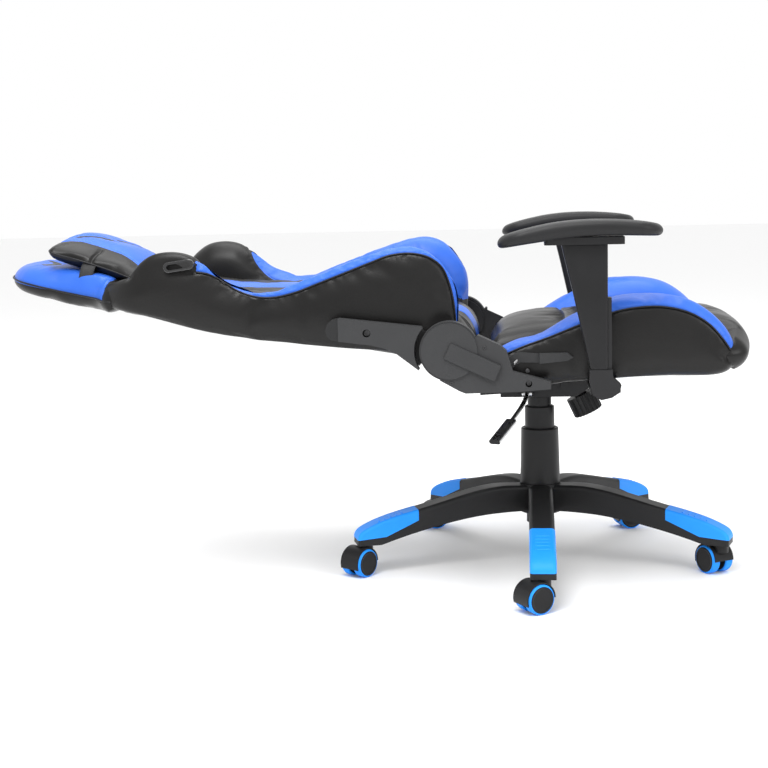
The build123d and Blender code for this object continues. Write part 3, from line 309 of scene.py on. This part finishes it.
def sheet_points(ring, step, reach, seams):
    """Points of a face: the outline, bands inside it, an even grid, and lines along each seam."""
    loose = []
    tangent = np.roll(ring, -1, axis=0) - np.roll(ring, 1, axis=0)
    tangent /= np.linalg.norm(tangent, axis=1)[:, None]
    inward = np.stack([-tangent[:, 1], tangent[:, 0]], axis=1)
    if not inside(ring[:1] + inward[:1] * 0.5, ring)[0]:
        inward = -inward
    clear_of = [line for line, depth in seams]
    for turn in (12, 27, 43, 61, 80):
        d = reach * (1 - cos(radians(turn)))
        band = ring + inward * d
        keep = inside(band, ring) & (away(band, ring, True) > 0.93 * d)
        for line in clear_of:
            keep &= away(band, line) > 1.6
        loose.append(band[keep])
    low, high = ring.min(axis=0), ring.max(axis=0)
    gx, gy = np.meshgrid(np.arange(low[0], high[0], step), np.arange(low[1], high[1], step))
    grid = np.stack([gx.ravel(), gy.ravel()], axis=1)
    keep = inside(grid, ring)
    grid = grid[keep]
    keep = away(grid, ring, True) > reach + 0.35 * step
    for line in clear_of:
        keep &= away(grid, line) > 6.0
    loose.append(grid[keep])
    for line in clear_of:
        along = np.gradient(line, axis=0)
        along /= np.linalg.norm(along, axis=1)[:, None]
        across = np.stack([-along[:, 1], along[:, 0]], axis=1)
        for shift in (-4.4, -2.0, 2.0, 4.4):
            row = line + across * shift
            keep = inside(row, ring) & (away(row, ring, True) > 1.2)
            for other in clear_of:
                keep &= away(row, other) > abs(shift) * 0.8
            loose.append(row[keep])
    return np.vstack(loose)


def face_sheet(ring, step, reach, seams):
    """Triangles filling an outline, with an edge along every seam."""
    points = [ring]
    edges = [(i, (i + 1) % len(ring)) for i in range(len(ring))]
    total = len(ring)
    for line, depth in seams:
        keep = inside(line, ring) & (away(line, ring, True) > 0.6)
        kept = line[keep]
        points.append(kept)
        edges += [(total + i, total + i + 1) for i in range(len(kept) - 1) if
                  np.linalg.norm(kept[i + 1] - kept[i]) < 12]
        total += len(kept)
    points.append(sheet_points(ring, step, reach, seams))
    every = np.vstack(points)
    verts, _, faces, *_ = delaunay_2d_cdt([Vector(p) for p in every], edges, [], 1, 1e-5)
    flat = np.array([v[:] for v in verts])
    centres = np.array([flat[list(f)].mean(axis=0) for f in faces])
    keep = inside(centres, ring)
    return flat, [f for f, k in zip(faces, keep) if k]


# a seam's width, and how deep a point has to be in one for the stitching to hold it, in mm
SEAM_WIDTH = 2.6
PINNED_DEPTH = 0.25


def all_black(c, d, is_top):
    """Every face in the black leather."""
    return np.zeros(len(c), int)


def new_object(name, data):
    obj = bpy.data.objects.new(name, data)
    bpy.context.scene.collection.objects.link(obj)
    return obj


def puff(name, outline, place, top, bottom, paint, step=9.0, gap=6.0, reach=18.0,
         top_seams=(), bottom_seams=(), swell=None, levels=1):
    """A stuffed form from its outline, in mm.

    top and bottom give the height of each face from (points, distance inside the outline), place
    turns (point, height) into the row frame, and paint gives each face's material index.
    """
    ring = closed_evenly(np.array(outline, float), gap)
    mesh = bmesh.new()
    soft = mesh.verts.layers.float.new("soft")
    for height, seams, is_top in ((top, top_seams, True), (bottom, bottom_seams, False)):
        flat, faces = face_sheet(ring, step, reach, seams)
        d = away(flat, ring, True)
        d[d < 1e-4] = 0.0
        h = height(flat, d)
        sink = np.zeros(len(flat))
        for line, depth in seams:
            sink = np.maximum(sink, depth * np.exp(-((away(flat, line) / SEAM_WIDTH) ** 2)))
        h = h - sink if is_top else h + sink
        made = []
        for p, z, depth in zip(flat, h, sink):
            v = mesh.verts.new(place(p, z))
            v[soft] = 0.0 if depth > PINNED_DEPTH else 1.0
            made.append(v)
        centres = np.array([flat[list(f)].mean(axis=0) for f in faces])
        shades = paint(centres, away(centres, ring, True), is_top)
        for f, shade in zip(faces, shades):
            try:
                face = mesh.faces.new([made[i] for i in f])
            except ValueError:
                continue
            face.material_index = int(shade)
    bmesh.ops.remove_doubles(mesh, verts=mesh.verts, dist=2e-5)
    bmesh.ops.recalc_face_normals(mesh, faces=mesh.faces)
    bmesh.ops.join_triangles(
        mesh, faces=mesh.faces, cmp_materials=True, angle_face_threshold=0.7, angle_shape_threshold=0.9
    )
    data = bpy.data.meshes.new(name)
    mesh.verts.index_update()
    pinned = [v.index for v in mesh.verts if v[soft] < 0.5]
    mesh.to_mesh(data)
    mesh.free()
    obj = new_object(name, data)
    for face in data.polygons:
        face.use_smooth = True
    for mat in (BLACK_LEATHER, BLUE_LEATHER):
        data.materials.append(mat)
    if swell:
        inflate(obj, pinned, **swell)
    subdivide = obj.modifiers.new("smooth", "SUBSURF")
    subdivide.levels = levels
    subdivide.render_levels = levels
    return obj


def inflate(obj, pinned, pressure=4.0, cap=6.0, tension=15.0, shrink=-0.02, frames=20):
    """Cloth under a little pressure, held at its seams; no point moves further than cap, in mm."""
    before = np.array([v.co[:] for v in obj.data.vertices])
    group = obj.vertex_groups.new(name="seams")
    group.add(pinned, 1.0, "REPLACE")
    cloth = obj.modifiers.new("cloth", "CLOTH")
    s = cloth.settings
    s.quality = 6
    s.mass = 0.3
    s.tension_stiffness = tension
    s.compression_stiffness = tension
    s.shear_stiffness = 5
    s.bending_stiffness = 0.5
    s.use_pressure = True
    s.uniform_pressure_force = pressure
    s.shrink_min = shrink
    s.effector_weights.gravity = 0
    if pinned:
        s.vertex_group_mass = "seams"
    cloth.collision_settings.use_self_collision = False
    cloth.point_cache.frame_start = 1
    cloth.point_cache.frame_end = frames
    scene = bpy.context.scene
    for f in range(1, frames + 1):
        scene.frame_set(f)
    graph = bpy.context.evaluated_depsgraph_get()
    shaped = obj.evaluated_get(graph).to_mesh()
    after = np.array([v.co[:] for v in shaped.vertices])
    obj.evaluated_get(graph).to_mesh_clear()
    obj.modifiers.remove(cloth)
    scene.frame_set(1)
    if after.shape == before.shape and np.isfinite(after).all():
        move = after - before
        far = np.linalg.norm(move, axis=1)
        limit = cap * MM
        move *= (limit * np.tanh(far / limit) / np.maximum(far, 1e-9))[:, None]
        for v, co in zip(obj.data.vertices, before + move):
            v.co = co
    obj.vertex_groups.clear()


def tube(name, points, radius, mat, closed=False, sides=8):
    """A round cord along points in the row frame, such as piping or a wire."""
    curve = bpy.data.curves.new(name, "CURVE")
    curve.dimensions = "3D"
    curve.bevel_depth = radius
    curve.bevel_resolution = max(sides // 4, 1)
    curve.resolution_u = 4
    curve.use_fill_caps = True
    spline = curve.splines.new("POLY")
    spline.points.add(len(points) - 1)
    for knot, point in zip(spline.points, points):
        knot.co = (*point, 1)
    spline.use_cyclic_u = closed
    spline.use_smooth = True
    curve.materials.append(mat)
    return new_object(name, curve)


def dress(obj, body, *nodes, slot=None, fill=None):
    """The piece rides on its body and stands for its CAD nodes, which are hidden."""
    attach(obj, body)
    if nodes:
        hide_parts(*nodes)
    return obj


# ------------------------------------------------------------------ backrest wings
WING_CREST = [
    (-138, 484), (-138, 514), (-151, 556), (-175, 586), (-209, 600), (-247, 598), (-312, 579),
    (-384, 552), (-438, 533), (-467, 529), (-492, 533), (-528, 547), (-566, 580), (-587, 593),
    (-616, 598), (-649, 593), (-673, 578), (-694, 557),
]
WING_FOOT = [
    (-694, 557), (-718, 548), (-738, 540), (-745, 526), (-742, 509), (-667, 489), (-552, 459),
    (-421, 440), (-330, 430), (-255, 424), (-200, 417), (-172, 398), (-148, 394), (-138, 410),
    (-135, 445), (-138, 484),
]
SIDE_SEAM = [
    (-139, 470), (-140, 484), (-143, 514), (-151, 546), (-161, 567), (-181, 583), (-210, 590.5),
    (-246, 588), (-278, 577), (-323, 560), (-371, 542), (-407, 529), (-444, 521.5), (-473, 523),
    (-503, 533), (-530, 549), (-552, 562), (-573, 566),
]
INNER_SEAM = [
    (-150, 480), (-172, 496), (-205, 512), (-260, 520), (-330, 516), (-400, 510), (-446, 511), (-488, 514),
    (-524, 527), (-548, 550), (-566, 580),
]
WING_CREST_Y, WING_OUTER_Y, WING_INNER_Y = 232.0, 250.0, 190.0
GROMMET_X, GROMMET_Z = -600, 577
ABOVE = 700


def shoulder_y(points):
    """How far the wing's outer face pulls in over the shoulder, as the back narrows to the head."""
    u = (-(points[:, 0] + 149) * cos(RECLINE)) + (points[:, 1] - 432) * sin(RECLINE)
    t = np.clip((u - 520) / 75, 0, 1)
    return 38 * t * t


def build_wing(side, name):
    outline = np.vstack([smooth_line(WING_CREST, 160)[:-1], smooth_line(WING_FOOT, 160)[:-1]])
    side_seam = smooth_line(SIDE_SEAM, 150)
    inner_seam = smooth_line(INNER_SEAM, 110)

    def outer(p, d):
        bulge = 6.0 * (1 - np.exp(-((d / 34.0) ** 2)))
        grommet = np.hypot((p[:, 0] - GROMMET_X) / 34, (p[:, 1] - GROMMET_Z) / 17)
        bulge = bulge * np.clip(grommet - 0.6, 0, 1)
        reach = WING_OUTER_Y - WING_CREST_Y - 9
        return WING_CREST_Y - shoulder_y(p) + reach * rim(d, 13.0) + bulge

    def inner(p, d):
        pull = shoulder_y(p)
        width = WING_CREST_Y - WING_INNER_Y - 0.6 * pull
        return WING_CREST_Y - pull - width * rim(d, 46.0)

    def paint(c, d, is_top):
        if is_top:
            ring = np.vstack([side_seam, [(-573, ABOVE), (0, ABOVE), (0, 470), (-139, 470)]])
        else:
            ring = np.vstack([inner_seam, [(-566, ABOVE), (0, ABOVE), (0, 470)]])
        return inside(c, ring).astype(int)

    def place(p, h):
        return Vector((p[0] * MM, side * h * MM, (p[1] - DATUM) * MM))

    wing = puff(
        name, outline, place, outer, inner, paint, reach=15.0,
        top_seams=[(side_seam, 1.6)], bottom_seams=[(inner_seam, 1.6)],
        swell=dict(pressure=3.0, cap=4.0),
    )
    dress(wing, "backrest", name.replace("_cover", ""), slot="leather_black", fill=0.8)
    d = away(side_seam, closed_evenly(outline, 6.0), True)
    bead = [place(p, h + 0.2) for p, h in zip(side_seam, outer(side_seam, d))]
    dress(tube(f"wing_piping_{WORD[side]}", bead, 0.0013, PIPING), "backrest", slot="leather_black")


for side, word in WORD.items():
    build_wing(side, f"back_wing_{word}_cover")


# ------------------------------------------------------------------ backrest front and head
def on_back(p, v, side=1):
    """A point of the backrest from u and Y in mm and its height v off the back."""
    return HINGE + ALONG * (p[0] * MM) + OFF * (v * MM) + Vector((0, side * p[1] * MM, 0))


PAD_FACE = [
    (-50, 6), (-28, 31), (-8, 43), (18, 48), (44, 60), (95, 68), (180, 62), (280, 43), (380, 27), (480, 19),
    (600, 17),
]
BACK_SKIN = [
    (-60, -8), (-40, -22), (0, -29), (300, -33), (590, -37), (666, -40), (748, -36), (800, -33), (830, -32),
]


def curve_height(profile, u):
    """Height of a profile at u, smoothed through its points."""
    line = smooth_line(profile, 200)
    return np.interp(u, line[:, 0], line[:, 1])


def build_back_pad():
    half, stripe, piping = 193.0, 50.0, 110.0
    corners = [(-41, -half), (588, -half), (588, half), (-41, half)]
    edges = zip(corners, corners[1:] + corners[:1])
    outline = np.vstack([evenly(np.array(edge, float), 60)[:-1] for edge in edges])
    stripes = [smooth_line([(-40, s * y), (300, s * (y + 4)), (586, s * (y - 8))], 100)
               for s in (-1, 1) for y in (stripe, piping)]
    channels = [smooth_line([(u, s * (piping - 5)), (u + 8, s * 80), (u, s * (stripe + 7))], 16)
                for u in (120, 210, 300, 390, 480) for s in (-1, 1)]

    def levels(p):
        """Heights of the front, the border and the back of the pad."""
        side_fall = 10.0 * (np.abs(p[:, 1]) / half) ** 4
        crown = 6.0 * np.exp(-((np.abs(p[:, 1]) - 140) / 40) ** 2)
        mid = 4.0 * np.cos(np.clip(p[:, 1] / piping, -1, 1) * pi / 2)
        top = curve_height(PAD_FACE, p[:, 0]) - side_fall + crown * 0.5 + mid
        low = curve_height(BACK_SKIN, p[:, 0])
        return top, 0.45 * top + 0.55 * low, low

    def face(p, d):
        top, middle, low = levels(p)
        return middle + (top - middle) * rim(d, 40.0)

    def skin(p, d):
        top, middle, low = levels(p)
        return middle - (middle - low) * rim(d, 34.0)

    def paint(c, d, is_top):
        if not is_top:
            under_the_lip = c[:, 0] < -30
            return ((np.abs(c[:, 1]) < stripe) & under_the_lip).astype(int)
        shift = np.interp(c[:, 0], [-48, 300, 586], [0, 4, -8])
        return (np.abs(c[:, 1]) < stripe + shift).astype(int)

    pad = puff(
        "back_pad_cover", outline, on_back, face, skin, paint, reach=36.0,
        top_seams=[(line, 2.2) for line in stripes] + [(line, 3.0) for line in channels],
        swell=dict(pressure=3.0, cap=3.5),
    )
    dress(pad, "backrest", "back_pad", slot="leather_black", fill=0.8)


HEAD_OUTLINE = [
    (576, 0), (576, 120), (578, 205), (588, 214), (604, 206), (622, 182), (660, 162), (700, 154), (740, 147),
    (775, 128), (800, 92), (813, 44), (816, 0),
]
HEAD_FACE = [(560, 16), (620, 15), (680, 14), (730, 13), (770, 11), (800, 7), (830, 3)]


def build_headrest():
    half = smooth_line(HEAD_OUTLINE, 120)
    outline = np.vstack([half, half[::-1][1:-1] * [1, -1]])
    collar = smooth_line([(606, -214), (602, -100), (600, 0), (602, 100), (606, 214)], 80)
    chevrons = []
    for s in (-1, 1):
        for u0 in (742, 758):
            chevrons.append(smooth_line([(u0, s * 92), (u0 - 14, s * 52), (u0 + 10, s * 12)], 24))

    def levels(p):
        """Heights of the front, the border and the back of the headrest."""
        top = curve_height(HEAD_FACE, p[:, 0]) + 5.0 * np.cos(np.clip(p[:, 1] / 160, -1, 1) * pi / 2) - 2
        low = curve_height(BACK_SKIN, p[:, 0])
        return top, 0.35 * top + 0.65 * low, low

    def face(p, d):
        top, middle, low = levels(p)
        return middle + (top - middle) * rim(d, 26.0)

    def skin(p, d):
        top, middle, low = levels(p)
        return middle - (middle - low) * rim(d, 18.0)

    def paint(c, d, is_top):
        if not is_top:
            return all_black(c, d, is_top)
        blue = c[:, 0] > 604
        for k in (0, 2):
            band = np.vstack([chevrons[k], chevrons[k + 1][::-1]])
            blue &= ~inside(c, band)
        return blue.astype(int)

    head = puff(
        "headrest_cover", outline, on_back, face, skin, paint, reach=24.0, step=8.0,
        top_seams=[(collar, 1.8)] + [(line, 0.5) for line in chevrons],
        swell=dict(pressure=4.0, cap=4.0),
    )
    dress(head, "backrest", "headrest", slot="leather_blue", fill=0.8)
    edge = [on_back(p, v) for p, v in zip(outline, levels(outline)[1]) if p[0] > 580]
    dress(tube("headrest_piping", edge, 0.0016, PIPING), "backrest", slot="leather_black")


PILLOW_OUTLINE = [
    (566, 0), (565, 60), (560, 110), (558, 138), (566, 147), (584, 144), (610, 137), (645, 134), (680, 136),
    (706, 143), (722, 144), (728, 134), (730, 100), (732, 50), (733, 0),
]
PILLOW_EDGE = [(558, 96), (600, 88), (650, 84), (690, 88), (732, 98)]
PILLOW_SLANTS = (
    ((590, 52), (645, 4)), ((604, 62), (659, 14)), ((645, -14), (700, -62)), ((659, -4), (714, -52)),
)


def pillow_mid(p):
    """Height of the pillow's border: low behind the neck, high towards the head."""
    return 24.0 + 0.15 * (p[:, 0] - 558) - 6 * (p[:, 1] / 144) ** 2


def build_pillow():
    half = smooth_line(PILLOW_OUTLINE, 130)
    outline = np.vstack([half, half[::-1][1:-1] * [1, -1]])
    ends = [smooth_line([(u, s * y) for u, y in PILLOW_EDGE], 60) for s in (-1, 1)]
    slants = []
    for (u0, y0), (u1, y1) in PILLOW_SLANTS:
        slants.append(smooth_line([(u0, y0), ((u0 + u1) / 2 + 3, (y0 + y1) / 2), (u1, y1)], 20))
    pulls = [smooth_line([(652, s * 138), (650, s * 118), (646, s * 100)], 12) for s in (-1, 1)]

    def fat(d, reach):
        return np.power(np.clip(1 - (1 - np.clip(d / reach, 0, 1)) ** 2, 0, 1), 0.55)

    def face(p, d):
        rise = 32.0 - 14.0 * (np.abs(p[:, 1]) / 144) ** 2
        return pillow_mid(p) + rise * fat(d, 66.0)

    def skin(p, d):
        return pillow_mid(p) - 15.0 * fat(d, 40.0)

    def paint(c, d, is_top):
        edge = np.interp(c[:, 0], [u for u, y in PILLOW_EDGE], [y for u, y in PILLOW_EDGE])
        blue = np.abs(c[:, 1]) < edge
        if is_top:
            for k in (0, 2):
                blue &= ~inside(c, np.vstack([slants[k], slants[k + 1][::-1]]))
        return blue.astype(int)

    top_seams = [(line, 1.6) for line in ends] + [(line, 0.3) for line in slants]
    top_seams += [(line, 4.0) for line in pulls]
    pillow = puff(
        "pillow_cover", outline, on_back, face, skin, paint, reach=20.0, step=8.0, top_seams=top_seams,
        bottom_seams=[(line, 1.4) for line in ends], swell=dict(pressure=5.0, cap=6.0),
    )
    dress(pillow, "backrest", "pillow", slot="leather_blue", fill=0.7)
    bead = [on_back(p, v) for p, v in zip(outline, pillow_mid(outline))]
    dress(tube("pillow_piping", bead, 0.0014, PIPING, closed=True), "backrest", slot="leather_black")
    for side, word in WORD.items():
        dress(link(f"pillow_link_{word}", side), "backrest", slot="strap_black")


def link(name, side):
    """The band from the end of the pillow down to the elastic round the headrest."""
    way = smooth_line([(131, 33), (140, 27), (146, 18), (148.5, 6), (148.8, -8)], 14)
    mesh = bmesh.new()
    rows = []
    for y, v in way:
        rows.append([mesh.verts.new(on_back((u, y), v, side)) for u in np.linspace(641.5, 665.5, 5)])
    for a, b in zip(rows, rows[1:]):
        for k in range(4):
            mesh.faces.new((a[k], a[k + 1], b[k + 1], b[k]))
    data = bpy.data.meshes.new(name)
    mesh.to_mesh(data)
    mesh.free()
    obj = new_object(name, data)
    data.materials.append(STRAP)
    for face in data.polygons:
        face.use_smooth = True
    thick = obj.modifiers.new("thick", "SOLIDIFY")
    thick.thickness = 0.0016
    thick.offset = 1.0 if side == LEFT else -1.0
    return obj


build_back_pad()
build_headrest()
build_pillow()


# ------------------------------------------------------------------ seat
SEAT_TOP = [
    (-110, 438), (-96, 443), (-61, 453), (-2, 461), (70, 462), (160, 461), (230, 465), (290, 469), (325, 462),
    (352, 444), (372, 412),
]


def seat_floor(x):
    return 366 + 0.0577 * x


def build_cushion():
    front = [(304, -250), (322, -246), (341, -233), (350, -200), (359, -120), (362, 0)]
    front += [(x, -y) for x, y in front[-2::-1]]
    nose = smooth_line(front, 160)
    core = 168.0
    back = [(304, core), (-86, core), (-91, 150), (-91, -150), (-86, -core), (304, -core)]
    edges = zip(back, back[1:])
    outline = np.vstack([nose] + [evenly(np.array(edge, float), 40)[:-1] for edge in edges])
    cross = smooth_line([(40, -core + 3), (46, 0), (40, core - 3)], 60)
    front_seam = smooth_line([(283, -core + 3), (290, 0), (283, core - 3)], 60)

    def levels(p):
        """Heights of the top, the border and the underside of the cushion."""
        crown = 6.0 * np.cos(np.clip(p[:, 1] / 170, -1, 1) * pi / 2)
        beyond = np.clip((np.abs(p[:, 1]) - 165) / 85, 0, 1)
        top = curve_height(SEAT_TOP, np.minimum(p[:, 0], 305)) + crown - 22 * beyond
        low = seat_floor(p[:, 0])
        return top, low + 0.5 * (top - low), low

    def face(p, d):
        top, middle, low = levels(p)
        return middle + (top - middle) * rim(d, np.where(p[:, 0] > 150, 62.0, 30.0))

    def skin(p, d):
        top, middle, low = levels(p)
        return middle - (middle - low) * rim(d, np.where(p[:, 0] > 150, 46.0, 14.0))

    def place(p, h):
        return Vector((p[0] * MM, p[1] * MM, (h - DATUM) * MM))

    cushion = puff(
        "seat_cushion_cover", outline, place, face, skin, all_black, reach=40.0, step=10.0,
        top_seams=[(cross, 3.0), (front_seam, 2.0)], swell=dict(pressure=4.0, cap=6.0),
    )
    dress(cushion, "seat", "seat_cushion", slot="leather_black", fill=0.8)


BOLSTER_CREST = [
    (-66, 431), (-40, 443), (-5, 452), (56, 484), (120, 511), (160, 515), (201, 514), (243, 504), (275, 484),
    (300, 458), (312, 436),
]
BOLSTER_FOOT = [
    (312, 436), (314, 415), (308, 392), (292, 383), (200, 378), (100, 373), (0, 367), (-50, 364), (-64, 372),
    (-70, 405), (-66, 431),
]
BOLSTER_SEAM = [
    (-56, 423), (-30, 434), (13, 449), (58, 467), (118, 489), (153, 496), (198, 497), (240, 487), (272, 468),
    (294, 444), (308, 424),
]


def build_bolster(side, name):
    outline = np.vstack([smooth_line(BOLSTER_CREST, 120)[:-1], smooth_line(BOLSTER_FOOT, 120)[:-1]])
    seam = smooth_line(BOLSTER_SEAM, 100)

    def outer(p, d):
        return 228 + 20 * rim(d, 17.0) + 5.0 * (1 - np.exp(-d / 35.0))

    def inner(p, d):
        return 228 - 61 * rim(d, 44.0)

    def paint(c, d, is_top):
        if not is_top:
            return (c[:, 1] > 405).astype(int)
        ring = np.vstack([seam, [(340, 424), (340, ABOVE), (-200, ABOVE), (-200, 423)]])
        return inside(c, ring).astype(int)

    def place(p, h):
        return Vector((p[0] * MM, side * h * MM, (p[1] - DATUM) * MM))

    bolster = puff(
        name, outline, place, outer, inner, paint, reach=17.0,
        top_seams=[(seam, 1.6)], swell=dict(pressure=3.5, cap=4.0),
    )
    dress(bolster, "seat", name.replace("_cover", ""), slot="leather_blue", fill=0.8)
    d = away(seam, closed_evenly(outline, 6.0), True)
    bead = [place(p, h + 0.3) for p, h in zip(seam, outer(seam, d))]
    dress(tube(f"bolster_piping_{WORD[side]}", bead, 0.0013, PIPING), "seat", slot="leather_black")


build_cushion()
for side, word in WORD.items():
    build_bolster(side, f"seat_bolster_{word}_cover")


# ------------------------------------------------------------------ arm pads
PAD_X, PAD_STRAIGHT, PAD_RADIUS, ARM_Y = 62.5, 91.5, 39.5, 302
PAD_OVER = [
    (-80, 612), (-69, 616), (-40, 625), (13, 637), (61, 642), (116, 642), (167, 637), (194, 632), (205, 630),
]
PAD_UNDER = [(-80, 592), (-63, 598), (6, 609), (61, 615), (116, 616.5), (188, 614), (205, 612)]


def build_pad(side, name):
    """Moulded pad, rounded all round, with a shallow dish where the forearm lies."""
    angles = np.linspace(0, pi, 40)
    cap = [(PAD_X + PAD_STRAIGHT + PAD_RADIUS * sin(a), PAD_RADIUS * cos(a)) for a in angles]
    tail = [(PAD_X - PAD_STRAIGHT - PAD_RADIUS * sin(a), -PAD_RADIUS * cos(a)) for a in angles]
    outline = np.array(cap + tail)

    def mid(x):
        return 0.5 * (curve_height(PAD_OVER, x) + curve_height(PAD_UNDER, x))

    def face(p, d):
        dish = 1.5 * np.exp(-((p[:, 1] / 22) ** 2)) * np.clip((95 - np.abs(p[:, 0] - 62)) / 30, 0, 1)
        return mid(p[:, 0]) + (curve_height(PAD_OVER, p[:, 0]) - mid(p[:, 0])) * rim(d, 11.0) - dish

    def skin(p, d):
        return mid(p[:, 0]) - (mid(p[:, 0]) - curve_height(PAD_UNDER, p[:, 0])) * rim(d, 9.0)

    def place(p, h):
        return Vector((p[0] * MM, (side * ARM_Y + p[1]) * MM, (h - DATUM) * MM))

    pad = puff(name, outline, place, face, skin, all_black, reach=15.0, step=9.0)
    pad.data.materials.clear()
    pad.data.materials.append(PAD)
    dress(pad, f"arm_{WORD[side]}", f"arm_pad_{WORD[side]}", slot="pad_black", fill=0.9)


for side, word in WORD.items():
    build_pad(side, f"arm_pad_{word}_cover")


# ------------------------------------------------------------------ screws and bolts at the hinges
HEAD_SIDES = 24


def screw(name, body, x, z, y, radius, thick):
    """A round head with a hexagon socket, facing outwards on one side of the chair."""
    out = 1 if y > 0 else -1
    angles = np.linspace(0, 2 * pi, HEAD_SIDES, endpoint=False)
    circle = np.ones(HEAD_SIDES)
    hexagon = [0.5 * cos(pi / 6) / cos((a % (pi / 3)) - pi / 6) for a in angles]
    mesh = bmesh.new()
    rings = []
    for reach, size, height in (
        (circle, radius, 0.0),
        (circle, radius, 0.7 * thick),
        (circle, 0.86 * radius, thick),
        (circle, 0.5 * radius, thick),
        (hexagon, radius, thick),
        (hexagon, radius, 0.35 * thick),
    ):
        ring = []
        for r, a in zip(reach, angles):
            spot = (x + size * r * cos(a), y + out * height, z - DATUM + size * r * sin(a))
            ring.append(mesh.verts.new(Vector(spot) * MM))
        rings.append(ring)
    for a, b in zip(rings, rings[1:]):
        for k in range(HEAD_SIDES):
            after = (k + 1) % HEAD_SIDES
            mesh.faces.new((a[k], a[after], b[after], b[k]))
    mesh.faces.new(rings[0][::-1])
    mesh.faces.new(rings[-1])
    bmesh.ops.recalc_face_normals(mesh, faces=mesh.faces)
    data = bpy.data.meshes.new(name)
    mesh.to_mesh(data)
    mesh.free()
    data.materials.append(DARK_STEEL)
    return dress(new_object(name, data), body, slot="bright_steel")


COVER_FACE_Y, BRACKET_FACE_Y, LEVER_FACE_Y = 283.4, 270, 262.6
for side, word in WORD.items():
    screw(f"cover_screw_front_{word}", "seat", -91, 437, side * COVER_FACE_Y, 3.4, 1.6)
    screw(f"cover_screw_low_{word}", "seat", -146, 379, side * COVER_FACE_Y, 3.4, 1.6)
    screw(f"frame_bolt_{word}", "seat", -20, 377, side * BRACKET_FACE_Y, 4.6, 4.0)
    screw(f"back_bolt_{word}", "backrest", -284, 463, side * BRACKET_FACE_Y, 5.4, 4.0)
screw("lever_bolt", "seat", -22, 396, -LEVER_FACE_Y, 3.6, 2.4)

# the recline lever's return spring
SPRING_TURNS, SPRING_RADIUS, SPRING_RISE = 4.5, 3.0, 5
coil = []
for t in np.linspace(0, 1, 90):
    turn = 2 * pi * SPRING_TURNS * t
    x = -44 + SPRING_RISE * t
    y = -262 + SPRING_RADIUS * cos(turn)
    z = 407 - DATUM + SPRING_RISE * t + SPRING_RADIUS * sin(turn)
    coil.append(Vector((x, y, z)) * MM)
dress(tube("lever_spring", coil, 0.0005, STEEL), "seat", slot="bright_steel")


# ------------------------------------------------------------------ floor, light and camera
def studio():
    bpy.ops.mesh.primitive_plane_add(size=40, location=(0, 0, 0))
    floor = bpy.context.object
    floor.name = "floor"
    white = new_material("floor_white", (0.94, 0.94, 0.94), 0.9, spec=0.1)
    floor.data.materials.append(white)
    world = bpy.data.worlds.new("studio")
    bpy.context.scene.world = world
    world.use_nodes = True
    world.node_tree.nodes["Background"].inputs["Color"].default_value = (1, 1, 1, 1)
    world.node_tree.nodes["Background"].inputs["Strength"].default_value = 1.0
    for name, place, aim, size, power in (
        ("key", (-0.6, -1.6, 2.9), (-0.2, 0, 0.5), 1.4, 70),
        ("fill", (2.4, -2.2, 1.8), (0, 0, 0.4), 1.6, 30),
        ("top", (-0.2, 0.6, 3.0), (-0.2, 0, 0.4), 2.4, 60),
    ):
        lamp = bpy.data.lights.new(name, "AREA")
        lamp.size = size
        lamp.energy = power
        obj = new_object(name, lamp)
        obj.location = place
        obj.rotation_euler = (Vector(aim) - Vector(place)).to_track_quat("-Z", "Y").to_euler()


CAMERA_AT = Vector((-0.0297, -2.6542, 0.6904))
PAN, PITCH, ROLL = radians(5.475), radians(7.701), radians(-1.318)
LENS = 68.57


def camera():
    data = bpy.data.cameras.new("camera")
    data.lens = LENS
    data.sensor_width = 36
    obj = new_object("camera", data)
    ahead = Vector((-sin(PAN) * cos(PITCH), cos(PAN) * cos(PITCH), -sin(PITCH)))
    across = Vector((cos(PAN), sin(PAN), 0))
    up = across.cross(ahead)
    x_axis = across * cos(ROLL) + up * sin(ROLL)
    y_axis = up * cos(ROLL) - across * sin(ROLL)
    turn = Matrix((x_axis, y_axis, -ahead)).transposed().to_4x4()
    obj.matrix_world = Matrix.Translation(CAMERA_AT) @ turn
    bpy.context.scene.camera = obj


bpy.context.scene.view_settings.view_transform = "Standard"
studio()
camera()
